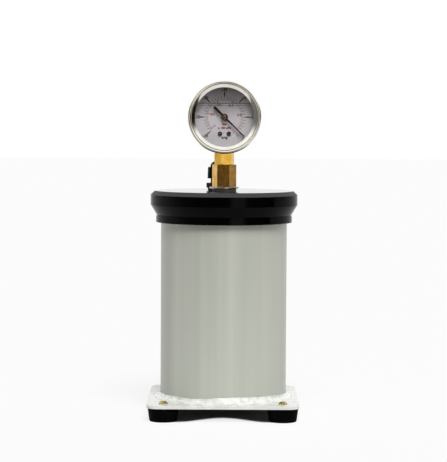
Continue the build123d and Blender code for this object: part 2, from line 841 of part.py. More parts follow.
# ================================================================ gauge: socket and Bourdon tube
neck_bottom = coupling_top + gauge_hex_length
block_bottom = gauge_axis - case_inner_radius + block_gap
block_step = gauge_axis - right_pillar_drop - movement_lobe_radius - block_plate_gap
block_top = gauge_axis + sector_pivot[1] - sector_arbor_radius - block_arbor_gap
block_back_depth = case_back_depth - case_wall
block_front_depth = -gauge_neck_diameter / 2
bourdon_root = polar(bourdon_radius, bourdon_root_angle)
passage_depth = bourdon_middle_depth - passage_offset
tube_depths = (bourdon_middle_depth - bourdon_depth_width / 2, bourdon_middle_depth + bourdon_depth_width / 2)


def bourdon_arc(clearance, start_angle, end_angle):
    """Flat oval section, larger by a clearance, swept round the gauge's axis between two angles."""
    with BuildPart(mode=Mode.PRIVATE) as arc:
        start = Plane(
            origin=(*polar(bourdon_radius, start_angle), 0),
            x_dir=(cos(radians(start_angle)), sin(radians(start_angle)), 0),
            z_dir=(-sin(radians(start_angle)), cos(radians(start_angle)), 0),
        )
        with BuildSketch(start):
            Rectangle(bourdon_section + 2 * clearance, bourdon_depth_width + 2 * clearance)
            chamfer(vertices(), bourdon_edge + clearance / 2)
        revolve(axis=Axis.Z, revolution_arc=end_angle - start_angle)
    return gauge_plane(bourdon_middle_depth) * arc.part


hex_bar = chamfered_hex(gauge_hex_across_flats, coupling_top, gauge_hex_length, gauge_hex_turn)
slot_arc = bourdon_arc(running_fit, bourdon_root_angle - bourdon_root_slot, bourdon_root_angle)
with BuildPart() as gauge_socket:
    add(hex_bar)
    with BuildSketch(Plane.XY.offset(coupling_top)):
        Circle(port_thread_radius)
    extrude(amount=-gauge_thread_length)
    chamfer(gauge_socket.edges().group_by(Axis.Z)[0], hex_chamfer)
    with BuildSketch(Plane.XY.offset(neck_bottom)):
        Circle(gauge_neck_diameter / 2)
    extrude(amount=block_bottom - neck_bottom)
    with BuildSketch(Plane.XY.offset(block_bottom)):
        with Locations((0, (block_front_depth + block_back_depth) / 2)):
            Rectangle(block_width, block_back_depth - block_front_depth)
    extrude(amount=block_step - block_bottom)
    rear_heel = gauge_socket.edges().filter_by(Axis.X).sort_by_distance((0, block_back_depth, block_bottom))[0]
    chamfer(rear_heel, case_corner_radius)
    with BuildSketch(Plane.XY.offset(block_step)):
        with Locations((0, (plate_back_depth + block_back_depth) / 2)):
            Rectangle(block_width, block_back_depth - plate_back_depth)
    extrude(amount=block_top - block_step)
    with BuildSketch(Plane.XY.offset(coupling_top - gauge_thread_length)):
        Circle(gauge_bore_diameter / 2)
    bore_top = gauge_axis + bourdon_root[1] + passage_radius
    extrude(amount=bore_top - coupling_top + gauge_thread_length, mode=Mode.SUBTRACT)
    add(slot_arc, mode=Mode.SUBTRACT)
    with BuildSketch(Plane.YZ):
        with Locations((passage_depth, gauge_axis + bourdon_root[1])):
            Circle(passage_radius)
    extrude(amount=bourdon_root[0], mode=Mode.SUBTRACT)
    with BuildSketch(gauge_plane(plate_back_depth)):
        with Locations(*screw_spots):
            Circle(movement_screw_radius + thread_fit)
    extrude(amount=-movement_screw_length - thread_fit, mode=Mode.SUBTRACT)
    with BuildSketch(gauge_plane(block_back_depth)):
        with Locations(*case_screw_spots):
            Circle(case_screw_radius + thread_fit)
    extrude(amount=case_screw_length + thread_fit, mode=Mode.SUBTRACT)
gauge_socket.part.label = "gauge_socket"
export_step(gauge_socket.part, "parts/gauge_socket.step")

with BuildPart() as case_screws:
    with BuildSketch(gauge_plane(case_back_depth)):
        with Locations(*case_screw_spots):
            Circle(case_screw_head_radius)
    extrude(amount=-case_screw_head_height)
    chamfer(case_screws.edges().group_by(Axis.Y)[-1], case_screw_slot_width / 2)
    with BuildSketch(gauge_plane(case_back_depth + case_screw_head_height)):
        with Locations(*case_screw_spots):
            Rectangle(2 * case_screw_head_radius, case_screw_slot_width)
    extrude(amount=case_screw_slot_depth, mode=Mode.SUBTRACT)
    with BuildSketch(gauge_plane(case_back_depth)):
        with Locations(*case_screw_spots):
            Circle(case_screw_radius)
    extrude(amount=case_wall + case_screw_length)
case_screws.part.label = "case_screws"
export_step(case_screws.part, "parts/case_screws.step")

with BuildPart() as socket_seal:
    with BuildSketch(Plane.XY.offset(neck_bottom)):
        Circle(socket_hole_radius - running_fit)
        Circle(gauge_neck_diameter / 2 + press_gap, mode=Mode.SUBTRACT)
    extrude(amount=block_bottom - neck_bottom)
socket_seal.part.label = "socket_seal"
export_step(socket_seal.part, "parts/socket_seal.step")

tube_outer = bourdon_arc(0, bourdon_tip_angle, bourdon_root_angle - 2 * running_fit)
tube_bore = bourdon_arc(-bourdon_wall, bourdon_tip_angle - 1, bourdon_root_angle + 1)
with BuildPart() as bourdon_tube:
    add(tube_outer)
    add(tube_bore, mode=Mode.SUBTRACT)
bourdon_tube.part.label = "bourdon_tube"
export_step(bourdon_tube.part, "parts/bourdon_tube.step")

tip_angle = bourdon_tip_angle - tip_overhang_angle
tip_middle = polar(bourdon_radius, tip_angle)
lug_root = polar(bourdon_radius - (tip_block_width - tip_arm_thickness) / 2, tip_angle)
tip_slot = bourdon_arc(running_fit, bourdon_tip_angle - running_fit, bourdon_tip_angle + tip_grip_angle)
with BuildPart() as tube_tip:
    with BuildSketch(gauge_plane(tube_depths[1] + tip_block_wall)):
        with Locations(Location((*tip_middle, 0), (0, 0, tip_angle))):
            Rectangle(tip_block_width, tip_block_length)
    extrude(amount=bourdon_depth_width + 2 * tip_block_wall)
    add(tip_slot, mode=Mode.SUBTRACT)
    with BuildSketch(gauge_plane(tube_depths[0] - tip_block_wall)):
        with Locations(Location((*lug_root, 0), (0, 0, tip_angle))):
            Rectangle(tip_arm_thickness, tip_block_length)
    extrude(amount=tube_depths[0] - tip_block_wall - lug_back_depth)
    with BuildSketch(gauge_plane(lug_back_depth)):
        with BuildLine():
            lug_path = Line(tip_eye, lug_root)
        trace(line_width=tip_lug_width)
        with Locations(tip_eye, lug_root):
            Circle(tip_eye_radius)
        with Locations(Location((*lug_root, 0), (0, 0, tip_angle))):
            Rectangle(tip_arm_thickness, tip_block_length)
        with Locations(tip_eye):
            Circle(link_pin_radius + press_gap, mode=Mode.SUBTRACT)
    extrude(amount=tip_lug_thickness)
tube_tip.part.label = "tube_tip"
export_step(tube_tip.part, "parts/tube_tip.step")

with BuildPart() as tip_pin:
    with BuildSketch(gauge_plane(lug_back_depth)):
        with Locations(tip_eye):
            Circle(link_pin_radius)
    extrude(amount=tip_lug_thickness)
    with BuildSketch(gauge_plane(lug_back_depth - tip_lug_thickness)):
        with Locations(tip_eye):
            Circle(link_pin_head_radius)
    extrude(amount=link_pin_head_height)
tip_pin.part.label = "tip_pin"
export_step(tip_pin.part, "parts/tip_pin.step")

# ================================================================ gauge: movement
link_low_end = shifted(sector_pivot, polar(tail_radius_out, tail_rest_angle))


def movement_plate_outline(holes):
    """Three-lobed plate sketch round the pillars, pierced by a list of (places, radius) holes."""
    with BuildSketch(mode=Mode.PRIVATE) as outline:
        with Locations(*pillar_spots):
            Circle(movement_lobe_radius)
        make_hull()
        for places, radius in holes:
            with Locations(*places):
                Circle(radius, mode=Mode.SUBTRACT)
    return outline.sketch


pivot_holes = ([(0, 0)], pivot_radius + running_fit)
arbor_holes = ([sector_pivot], sector_arbor_radius + running_fit)
back_outline = movement_plate_outline(
    [pivot_holes, arbor_holes, (screw_spots, movement_screw_radius + bolt_clearance)]
)
front_outline = movement_plate_outline([([(0, 0)], spindle_radius + running_fit), arbor_holes])

with BuildPart() as movement_back_plate:
    with BuildSketch(gauge_plane(plate_back_depth)):
        add(back_outline)
    extrude(amount=movement_plate_thickness)
movement_back_plate.part.label = "movement_back_plate"
export_step(movement_back_plate.part, "parts/movement_back_plate.step")

with BuildPart() as movement_front_plate:
    with BuildSketch(gauge_plane(front_plate_back)):
        add(front_outline)
    extrude(amount=movement_plate_thickness)
movement_front_plate.part.label = "movement_front_plate"
export_step(movement_front_plate.part, "parts/movement_front_plate.step")

with BuildPart() as movement_pillars:
    with BuildSketch(gauge_plane(back_plate_front)):
        with Locations(*pillar_spots):
            Circle(pillar_radius)
    extrude(amount=movement_plate_gap)
movement_pillars.part.label = "movement_pillars"
export_step(movement_pillars.part, "parts/movement_pillars.step")

with BuildPart() as movement_screws:
    with BuildSketch(gauge_plane(back_plate_front)):
        with Locations(*screw_spots):
            Circle(movement_screw_head_radius)
    extrude(amount=movement_screw_head_height)
    with BuildSketch(gauge_plane(back_plate_front)):
        with Locations(*screw_spots):
            Circle(movement_screw_radius)
    extrude(amount=-movement_plate_thickness - movement_screw_length)
movement_screws.part.label = "movement_screws"
export_step(movement_screws.part, "parts/movement_screws.step")


def involute_angle(angle):
    """Involute function, tan(a) - a, of an angle in radians."""
    return tan(angle) - angle


def gear_tooth(full_teeth):
    """One involute tooth along +X of a gear with this many teeth in the whole circle."""
    pitch_radius = gear_module * full_teeth / 2
    base_radius = pitch_radius * cos(radians(pressure_angle))
    tip_radius = pitch_radius + tooth_rise * gear_module
    root_radius = pitch_radius - tooth_root * gear_module
    half_pitch_angle = (pi * gear_module / 2 - tooth_backlash) / 2 / pitch_radius
    start_radius = max(base_radius, root_radius)
    flank = []
    for step in range(4):
        radius = start_radius + (tip_radius - start_radius) * step / 3
        rolled = involute_angle(acos(min(1.0, base_radius / radius)))
        half_angle = half_pitch_angle + involute_angle(radians(pressure_angle)) - rolled
        flank.append((radius * cos(half_angle), radius * sin(half_angle)))
    foot_half_width = flank[0][1]
    foot = (root_radius - tooth_embed, foot_half_width)
    upper = [foot] + flank
    lower = [(x, -y) for x, y in reversed(upper)]
    with BuildSketch(mode=Mode.PRIVATE) as tooth:
        with BuildLine():
            Polyline(*upper, *lower, close=True)
        make_face()
    return tooth.sketch


pinion_tooth = gear_tooth(pinion_teeth)
sector_tooth = gear_tooth(sector_full_teeth)
pinion_root_radius = pinion_pitch_radius - tooth_root * gear_module
sector_root_radius = sector_pitch_radius - tooth_root * gear_module
tooth_step = 360 / sector_full_teeth

with BuildPart() as pinion_spindle:
    with BuildSketch(gauge_plane(plate_back_depth + pivot_end)):
        Circle(pivot_radius)
    extrude(amount=plate_back_depth + pivot_end - pinion_back)
    with BuildSketch(gauge_plane(pinion_back)):
        Circle(pinion_root_radius)
        with PolarLocations(0, pinion_teeth):
            add(pinion_tooth)
    extrude(amount=pinion_face)
    with BuildSketch(gauge_plane(pinion_back - pinion_face)):
        Circle(spindle_radius)
    extrude(amount=pinion_back - pinion_face - spindle_front)
pinion_spindle.part.label = "pinion_spindle"
export_step(pinion_spindle.part, "parts/pinion_spindle.step")

tail_angle_in_sector = tail_rest_angle - sector_rest_angle
window_inner = sector_window_start
window_outer = sector_root_radius - sector_rim_width
window_half_angle = tooth_step * (sector_teeth / 2 - sector_spoke_teeth)
rim_half_angle = tooth_step * sector_teeth / 2
with BuildPart() as sector_gear:
    with BuildSketch(arm_plane(sector_back, sector_pivot, sector_rest_angle)):
        with BuildLine():
            Line((0, 0), polar(sector_root_radius, -rim_half_angle))
            ThreePointArc(
                polar(sector_root_radius, -rim_half_angle),
                (sector_root_radius, 0),
                polar(sector_root_radius, rim_half_angle),
            )
            Line(polar(sector_root_radius, rim_half_angle), (0, 0))
        make_face()
        with BuildLine():
            Line(polar(window_inner, -window_half_angle), polar(window_outer, -window_half_angle))
            ThreePointArc(
                polar(window_outer, -window_half_angle),
                (window_outer, 0),
                polar(window_outer, window_half_angle),
            )
            Line(polar(window_outer, window_half_angle), polar(window_inner, window_half_angle))
            ThreePointArc(
                polar(window_inner, window_half_angle),
                (window_inner, 0),
                polar(window_inner, -window_half_angle),
            )
        make_face(mode=Mode.SUBTRACT)
        tooth_span = (sector_teeth - 1) * tooth_step
        with PolarLocations(0, sector_teeth, -tooth_span / 2, tooth_span, endpoint=True):
            add(sector_tooth)
        Circle(sector_hub_radius)
        tail_end = polar(tail_radius_out, tail_angle_in_sector)
        with Locations(Location((tail_end[0] / 2, tail_end[1] / 2, 0), (0, 0, tail_angle_in_sector))):
            SlotCenterToCenter(tail_radius_out, tail_width)
        Circle(sector_arbor_radius + press_gap, mode=Mode.SUBTRACT)
        with Locations(tail_end):
            Circle(link_pin_radius + press_gap, mode=Mode.SUBTRACT)
    extrude(amount=sector_thickness)
sector_gear.part.label = "sector_gear"
export_step(sector_gear.part, "parts/sector_gear.step")

with BuildPart() as sector_arbor:
    with BuildSketch(gauge_plane(plate_back_depth + pivot_end)):
        with Locations(sector_pivot):
            Circle(sector_arbor_radius)
    extrude(amount=plate_back_depth - front_plate_front + 2 * pivot_end)
sector_arbor.part.label = "sector_arbor"
export_step(sector_arbor.part, "parts/sector_arbor.step")

with BuildPart() as link:
    link_run = (tip_eye[0] - link_low_end[0], tip_eye[1] - link_low_end[1])
    link_length = sqrt(link_run[0] ** 2 + link_run[1] ** 2)
    link_angle = 180 / pi * acos(link_run[0] / link_length)
    link_middle = ((tip_eye[0] + link_low_end[0]) / 2, (tip_eye[1] + link_low_end[1]) / 2)
    with BuildSketch(arm_plane(link_back, link_middle, link_angle)):
        SlotCenterToCenter(link_length, link_width)
        with Locations((-link_length / 2, 0), (link_length / 2, 0)):
            Circle(link_pin_radius + running_fit, mode=Mode.SUBTRACT)
    extrude(amount=link_thickness)
link.part.label = "link"
export_step(link.part, "parts/link.step")

with BuildPart() as link_pin:
    with BuildSketch(gauge_plane(sector_back)):
        with Locations(link_low_end):
            Circle(link_pin_radius)
    extrude(amount=sector_back - link_back + link_thickness + running_fit)
    with BuildSketch(gauge_plane(link_back - link_thickness - running_fit)):
        with Locations(link_low_end):
            Circle(link_pin_head_radius)
    extrude(amount=link_pin_head_height)
link_pin.part.label = "link_pin"
export_step(link_pin.part, "parts/link_pin.step")

# The spring is a chain of half circles whose centres alternate by half a pitch, so each arc meets
# the next with no corner, and the strip keeps the same thickness all the way.
with BuildPart() as hairspring:
    with BuildSketch(gauge_plane(spring_back)):
        with BuildLine():
            for half_turn in range(spring_half_turns):
                middle = spring_pitch / 2 * (half_turn % 2)
                coil_radius = spring_inner_radius + spring_pitch / 2 * half_turn
                way = 1 if half_turn % 2 == 0 else -1
                for edge_radius in (coil_radius - spring_strip / 2, coil_radius + spring_strip / 2):
                    ThreePointArc(
                        (middle + way * edge_radius, 0),
                        (middle, way * edge_radius),
                        (middle - way * edge_radius, 0),
                    )
            spring_ends = [
                (1, spring_inner_radius, 0.0),
                (way * -1, coil_radius, middle),
            ]
            for way_out, end_radius, end_middle in spring_ends:
                Line(
                    (end_middle + way_out * (end_radius - spring_strip / 2), 0),
                    (end_middle + way_out * (end_radius + spring_strip / 2), 0),
                )
        make_face()
    extrude(amount=spring_height)
hairspring.part.label = "hairspring"
export_step(hairspring.part, "parts/hairspring.step")

stud_x = middle - way * (coil_radius + spring_strip / 2 + spring_stud_radius + press_gap)
with BuildPart() as spring_stud:
    with BuildSketch(gauge_plane(front_plate_back)):
        with Locations((stud_x, 0)):
            Circle(spring_stud_radius)
    extrude(amount=-(spring_back - front_plate_back))
spring_stud.part.label = "spring_stud"
export_step(spring_stud.part, "parts/spring_stud.step")

# ================================================================ gauge: dial and pointer
dial_front = dial_back_depth - dial_thickness
with BuildPart() as dial_posts:
    with BuildSketch(gauge_plane(front_plate_front)):
        with Locations(*post_spots):
            Circle(dial_post_radius)
    extrude(amount=front_plate_front - dial_back_depth)
dial_posts.part.label = "dial_posts"
export_step(dial_posts.part, "parts/dial_posts.step")

stop_pin_spot = polar(stop_pin_radius_out, stop_pin_angle)
with BuildPart() as gauge_dial:
    with BuildSketch(gauge_plane(dial_back_depth)):
        Circle(dial_radius)
        Circle(dial_hole_radius, mode=Mode.SUBTRACT)
        with Locations(stop_pin_spot):
            Circle(stop_pin_radius + press_gap, mode=Mode.SUBTRACT)
    extrude(amount=dial_thickness)
gauge_dial.part.label = "gauge_dial"
export_step(gauge_dial.part, "parts/gauge_dial.step")

with BuildPart() as dial_screws:
    with BuildSketch(gauge_plane(dial_front)):
        with Locations(*post_spots):
            Circle(dial_screw_head_radius)
    extrude(amount=dial_screw_head_height)
    chamfer(dial_screws.edges().group_by(Axis.Y)[0], dial_screw_edge)
    with BuildSketch(gauge_plane(dial_front - dial_screw_head_height)):
        with Locations(*post_spots):
            Rectangle(2 * dial_screw_head_radius, dial_screw_edge)
    extrude(amount=-dial_screw_edge, mode=Mode.SUBTRACT)
dial_screws.part.label = "dial_screws"
export_step(dial_screws.part, "parts/dial_screws.step")

with BuildPart() as stop_pin:
    with BuildSketch(gauge_plane(dial_back_depth)):
        with Locations(stop_pin_spot):
            Circle(stop_pin_radius)
    extrude(amount=dial_back_depth - pointer_back_depth + pointer_thickness)
stop_pin.part.label = "stop_pin"
export_step(stop_pin.part, "parts/stop_pin.step")

with BuildPart() as pointer:
    with BuildSketch(arm_plane(pointer_back_depth, (0, 0), pointer_rest_angle)):
        with BuildLine():
            Polyline(
                (pointer_length, needle_tip_width / 2),
                (0, needle_root_width / 2),
                (-pointer_tail, pointer_tail_width / 2),
                (-pointer_tail, -pointer_tail_width / 2),
                (0, -needle_root_width / 2),
                (pointer_length, -needle_tip_width / 2),
                close=True,
            )
        make_face()
        Circle(pointer_boss_radius)
        Circle(hub_neck_radius + press_gap, mode=Mode.SUBTRACT)
    extrude(amount=pointer_thickness)
pointer.part.label = "pointer"
export_step(pointer.part, "parts/pointer.step")

hub_back = pointer_back_depth + hub_flange_thickness
hub_front = pointer_back_depth - pointer_thickness - hub_dome_height
with BuildPart() as pointer_hub:
    with BuildSketch(side_section):
        with BuildLine():
            neck_front = pointer_back_depth - pointer_thickness
            Polyline(
                (hub_back, spindle_radius + press_gap),
                (hub_back, pointer_hub_radius),
                (pointer_back_depth, pointer_hub_radius),
                (pointer_back_depth, hub_neck_radius),
                (neck_front, hub_neck_radius),
                (neck_front, pointer_hub_radius),
            )
            dome_radius = (pointer_hub_radius**2 + hub_dome_height**2) / (2 * hub_dome_height)
            RadiusArc((neck_front, pointer_hub_radius), (hub_front, 0), -dome_radius)
            Polyline(
                (hub_front, 0),
                (spindle_front - press_gap, 0),
                (spindle_front - press_gap, spindle_radius + press_gap),
                (hub_back, spindle_radius + press_gap),
            )
        make_face()
    revolve(axis=gauge_axis_line)
pointer_hub.part.label = "pointer_hub"
export_step(pointer_hub.part, "parts/pointer_hub.step")
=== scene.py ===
# %% [markdown]
# # A small vacuum chamber, dressed in Blender
# The chamber is a white plastic pipe on a painted square plate. A black cap lies on the pipe, and a
# liquid-filled vacuum gauge and a small check valve stand on the cap. The solids come from the packed
# CAD frame. This file gives them their real finishes, and adds what is too fine or too irregular for
# the solids: the smeared sealant, the dial's printing and the liquid behind the window. It also draws
# the pipe and the bezel again with finer surfaces, because facets show in what they mirror.

import math

import bmesh
import bpy
import numpy as np
from mathutils import Matrix, Vector


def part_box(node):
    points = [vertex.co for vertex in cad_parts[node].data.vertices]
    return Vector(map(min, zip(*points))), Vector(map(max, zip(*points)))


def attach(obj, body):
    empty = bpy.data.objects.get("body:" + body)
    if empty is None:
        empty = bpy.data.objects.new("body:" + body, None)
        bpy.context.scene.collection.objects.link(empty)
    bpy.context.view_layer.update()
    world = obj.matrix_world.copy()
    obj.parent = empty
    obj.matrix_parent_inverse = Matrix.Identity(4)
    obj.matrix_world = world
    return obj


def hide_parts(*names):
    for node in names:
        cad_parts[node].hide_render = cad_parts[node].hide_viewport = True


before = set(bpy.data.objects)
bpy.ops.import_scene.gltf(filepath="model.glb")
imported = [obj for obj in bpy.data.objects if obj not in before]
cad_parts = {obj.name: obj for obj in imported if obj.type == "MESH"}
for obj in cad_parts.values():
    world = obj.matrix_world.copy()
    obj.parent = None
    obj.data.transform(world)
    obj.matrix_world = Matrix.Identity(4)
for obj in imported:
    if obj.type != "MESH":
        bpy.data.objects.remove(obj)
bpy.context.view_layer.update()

MM = 0.001


# %% [markdown]
# ## The camera
# The chamber is seen from the front and a little from above: the top of the plate shows as a thin
# band, and the cap's top as a thinner one. A long lens from 1.7 m gives that flat look. The camera is
# made first, so that each piece can be judged in its final view. It rolls by a third of a degree, which
# makes the chamber lean slightly to the right.

# %% Place the camera
CAMERA_DISTANCE = 1.7064
CAMERA_HEIGHT = 0.2645
CAMERA_PITCH = 3.319
CAMERA_ROLL = 0.3
CAMERA_SHIFT = 0.0009
LENS = 146.46

camera_data = bpy.data.cameras.new("camera")
camera_data.lens = LENS
camera_data.shift_x = -CAMERA_SHIFT
camera = bpy.data.objects.new("camera", camera_data)
bpy.context.scene.collection.objects.link(camera)
camera.matrix_world = (
    Matrix.Translation((0, -CAMERA_DISTANCE, CAMERA_HEIGHT))
    @ Matrix.Rotation(math.radians(90 - CAMERA_PITCH), 4, "X")
    @ Matrix.Rotation(math.radians(CAMERA_ROLL), 4, "Z")
)
bpy.context.scene.camera = camera
bpy.context.scene.view_settings.view_transform = "Standard"
print("camera", tuple(round(value, 3) for value in camera.location), "lens", LENS)


# %% [markdown]
# ## Small tools
# Colours are written as sRGB hex, as a paint chart gives them, and one function makes them linear.
# One function adds a shader node with its settings and its links. One function turns arrays of points
# and faces into a mesh object, and two more put a finish on a piece.

# %% Colours and nodes
def linear(code):
    """An sRGB hex code as linear RGBA: v/12.92 up to 0.04045, else ((v+0.055)/1.055)**2.4."""
    srgb = np.array([int(code[start:start + 2], 16) for start in (0, 2, 4)]) / 255
    value = np.where(srgb <= 0.04045, srgb / 12.92, ((srgb + 0.055) / 1.055) ** 2.4)
    return (*value.tolist(), 1.0)


def add_node(tree, kind, settings=None, stops=(), **inputs):
    """Adds a shader node to a tree and returns it.

    settings are the node's own properties, and stops are (position, hex) of a colour ramp. Each other
    keyword is an input by its name, with _ for a space, or in_0, in_1 by its number. Its value is a
    node, whose first output is linked, or a socket, or a plain value."""
    node = tree.nodes.new("ShaderNode" + kind)
    for key, value in (settings or {}).items():
        setattr(node, key, value)
    while stops and len(node.color_ramp.elements) < len(stops):
        node.color_ramp.elements.new(0.5)
    for element, (position, code) in zip(node.color_ramp.elements if stops else (), stops):
        element.position = position
        element.color = linear(code)
    for key, value in inputs.items():
        socket = node.inputs[int(key[3:]) if key.startswith("in_") else key.replace("_", " ")]
        if isinstance(value, bpy.types.Node):
            tree.links.new(value.outputs[0], socket)
        elif isinstance(value, bpy.types.NodeSocket):
            tree.links.new(value, socket)
        else:
            socket.default_value = value
    return node


def new_material(name):
    """An empty material: the material, its node tree and its Object coordinates."""
    material = bpy.data.materials.new(name)
    material.use_nodes = True
    material.node_tree.nodes.clear()
    place = add_node(material.node_tree, "TexCoord").outputs["Object"]
    return material, material.node_tree, place


print("linear mid grey:", [round(value, 3) for value in linear("808080")])


# %% Meshes and finishes
def mesh_object(name, points, faces, smooth=True):
    """A mesh object from an array of points, and an array of faces or a list of them with mixed corners."""
    mesh = bpy.data.meshes.new(name)
    faces = faces.tolist() if isinstance(faces, np.ndarray) else faces
    mesh.from_pydata(np.asarray(points, float).tolist(), [], faces)
    mesh.polygons.foreach_set("use_smooth", np.full(len(mesh.polygons), smooth))
    mesh.update()
    piece = bpy.data.objects.new(name, mesh)
    bpy.context.scene.collection.objects.link(piece)
    return piece


def face_outwards(mesh, weld=0.0):
    """Merges points closer than weld metres and turns all faces of a closed mesh outwards."""
    work = bmesh.new()
    work.from_mesh(mesh)
    bmesh.ops.remove_doubles(work, verts=work.verts, dist=weld)
    bmesh.ops.recalc_face_normals(work, faces=work.faces)
    work.to_mesh(mesh)
    work.free()


def ring_faces(rows, columns):
    """Quads of a grid of rows x columns points that closes on itself in both directions."""
    row, column = np.meshgrid(np.arange(rows), np.arange(columns), indexing="ij")
    up, along = (row + 1) % rows, (column + 1) % columns
    corners = (row * columns + column, row * columns + along, up * columns + along, up * columns + column)
    return np.stack([corner.ravel() for corner in corners], axis=1)


def box_faces(count):
    """Quads of count boxes with eight corners each: four round the back and the same four in front."""
    box = np.array([(3, 2, 1, 0), (4, 5, 6, 7), (0, 1, 5, 4), (1, 2, 6, 5), (2, 3, 7, 6), (3, 0, 4, 7)])
    return (np.arange(count)[:, None, None] * 8 + box[None]).reshape(-1, 4)


def lathe(name, profile, columns=256, axis_height=None, crease=35):
    """A closed profile of (along, radius) in mm turned round an axis in equal steps of the angle a.

    Round the chamber's upright axis: x = r sin a, y = -r cos a, z = along. With an axis height, round the
    gauge's axis, which runs along Y at that height: x = r sin a, y = along, z = r cos a + height."""
    angle = np.linspace(0, 2 * math.pi, columns, endpoint=False)[None]
    profile = np.asarray(profile, float) * MM
    along = profile[:, :1] + 0 * angle
    across, beside = profile[:, 1:] * np.sin(angle), profile[:, 1:] * np.cos(angle)
    if axis_height is None:
        points = np.stack([across, -beside, along], axis=2)
    else:
        points = np.stack([across, along, beside + axis_height], axis=2)
    piece = mesh_object(name, points.reshape(-1, 3), ring_faces(len(profile), columns))
    face_outwards(piece.data)
    piece.data.set_sharp_from_angle(angle=math.radians(crease))
    return piece


def dress(piece, material, body):
    """Finishes a new piece: its material and the body that it rides on."""
    piece.data.materials.append(material)
    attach(piece, body)
    print(piece.name, len(piece.data.polygons), "faces")


def dress_nodes(material, *names):
    """Gives CAD nodes their finish: each material slot of each node's object gets the material."""
    for name in names:
        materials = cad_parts[name].data.materials
        if not materials:
            materials.append(material)
        for index in range(len(materials)):
            materials[index] = material
    print(material.name, "->", ", ".join(names))


# %% [markdown]
# ## The table and the light
# The chamber stands on a white table in front of a white wall, and the camera's side of the room is
# dark. The black cap and the metal need that: they mirror the room, so they go dark in front and
# bright at their edges. The room is painted into the world as ramps over the compass. One is what
# metal and glass mirror: it has a bright box in front to the right, and a white ceiling above. A
# softer one is the light that falls on paint and plastic. The camera itself sees white all round.
# The main light is a wide soft one from above the camera. It's a lamp with parallel rays, because that
# lights the near and the far part of the table alike. It stands high enough for the cap to shade the
# top of the pipe. The shadow under the plate is drawn in the table's own material, because its
# arched front edge follows from no single lamp.

# %% White table
TABLE_HALF = 6.0
TABLE_FRONT = -0.4
# The table is dark where less than COVER_LOW of the sky is open within SKY_REACH, and lit over COVER_HIGH.
SKY_REACH = 0.12
COVER_LOW = 0.22
COVER_HIGH = 0.3
ARCH_DEPTH = 30 * MM
ARCH_HALF = 50 * MM
ARCH_BLUR = 4 * MM
# The part of what the camera sees of a lit point that is plain white and not the board's own tone.
GLARE = 0.8


def white_table():
    """Painted board: plain diffuse white, which the camera sees overexposed, as against a lit backdrop.

    Under the plate the board is dark: in its own shadow, and in a painted shadow that turns its colour
    grey. Light from the front reaches in under the plate's front edge, by ARCH_DEPTH in the middle and
    not at all at the feet, so the painted shadow's front edge is an arch:
    edge = plate's front + depth * smoothstep(1 - |x| / half). The share of open sky over each point
    ends the painted shadow at the other sides."""
    material, tree, place = new_material("painted_board")
    axes = add_node(tree, "SeparateXYZ", Vector=place)
    beside = add_node(tree, "Math", {"operation": "ABSOLUTE"}, in_0=axes.outputs["X"])
    bow = add_node(tree, "MapRange", {"interpolation_type": "SMOOTHSTEP"}, Value=beside,
                   From_Min=ARCH_HALF, From_Max=0.0, To_Min=plate_low.y, To_Max=plate_low.y + ARCH_DEPTH)
    behind = add_node(tree, "Math", {"operation": "SUBTRACT"}, in_0=axes.outputs["Y"], in_1=bow)
    reached = add_node(tree, "MapRange", Value=behind, From_Min=ARCH_BLUR, From_Max=-ARCH_BLUR)
    open_sky = add_node(tree, "AmbientOcclusion", {"samples": 24}, Distance=SKY_REACH)
    clear_sky = add_node(tree, "MapRange", Value=open_sky.outputs["AO"],
                         From_Min=COVER_LOW, From_Max=COVER_HIGH)
    lit_part = add_node(tree, "Math", {"operation": "MAXIMUM"}, in_0=reached, in_1=clear_sky)
    grain = add_node(tree, "TexNoise", Vector=place, Scale=1 / (4 * MM), Detail=2.0)
    tone = add_node(tree, "ValToRGB", stops=((0.3, "F9F9F9"), (0.7, "FBFBFB")), Fac=grain)
    # Where lit_part is low, the colour goes to grey 747470: a painted shadow under the plate.
    shade = add_node(tree, "Mix", {"data_type": "RGBA"}, in_0=lit_part, in_6=linear("747470"), in_7=tone)
    board = add_node(tree, "BsdfDiffuse", Color=shade.outputs[2])
    glare = add_node(tree, "Emission", Color=linear("FFFFFF"), Strength=1.0)
    to_camera = add_node(tree, "Math", {"operation": "MULTIPLY"}, in_1=GLARE,
                         in_0=add_node(tree, "LightPath").outputs["Is Camera Ray"])
    share = add_node(tree, "Math", {"operation": "MULTIPLY"}, in_0=lit_part, in_1=to_camera)
    seen = add_node(tree, "MixShader", in_0=share, in_1=board, in_2=glare)
    add_node(tree, "OutputMaterial", Surface=seen)
    return material


plate_low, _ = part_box("base_plate")
corners = [(-TABLE_HALF, TABLE_FRONT, 0), (TABLE_HALF, TABLE_FRONT, 0),
           (TABLE_HALF, 2 * TABLE_HALF, 0), (-TABLE_HALF, 2 * TABLE_HALF, 0)]
table = mesh_object("table", corners, [(0, 1, 2, 3)])
table.data.materials.append(white_table())
print("table", 2 * TABLE_HALF, "m wide, its front edge at", TABLE_FRONT)

# %% White world with a dark front
# Positions on the ramps: 0 and 1 are straight behind, 0.25 the left, 0.5 the front, 0.75 the right.
# ROOM is what mirrors show, and CLOTH is the light that falls on paint.
ROOM = ((0.0, "FFFFFF"), (0.14, "FFFFFF"), (0.2, "F0F0F2"), (0.25, "D2D2D4"), (0.34, "6A6A6A"),
        (0.44, "5E5248"), (0.52, "5E5248"), (0.54, "FFFDF6"), (0.585, "FFFDF6"), (0.605, "4A3A2C"),
        (0.62, "120C08"), (0.74, "120C08"), (0.79, "5A4636"), (0.84, "6E6258"), (0.88, "FFFFFF"),
        (1.0, "FFFFFF"))
CLOTH = ((0.0, "FFFFFF"), (0.12, "B4B4B4"), (0.25, "6E6E6E"), (0.42, "848484"), (0.56, "C8C8C6"),
         (0.7, "BCBCBA"), (0.8, "E0E0DE"), (0.86, "FFFFFF"), (1.0, "FFFFFF"))
ROOM_STRENGTH = 1.2
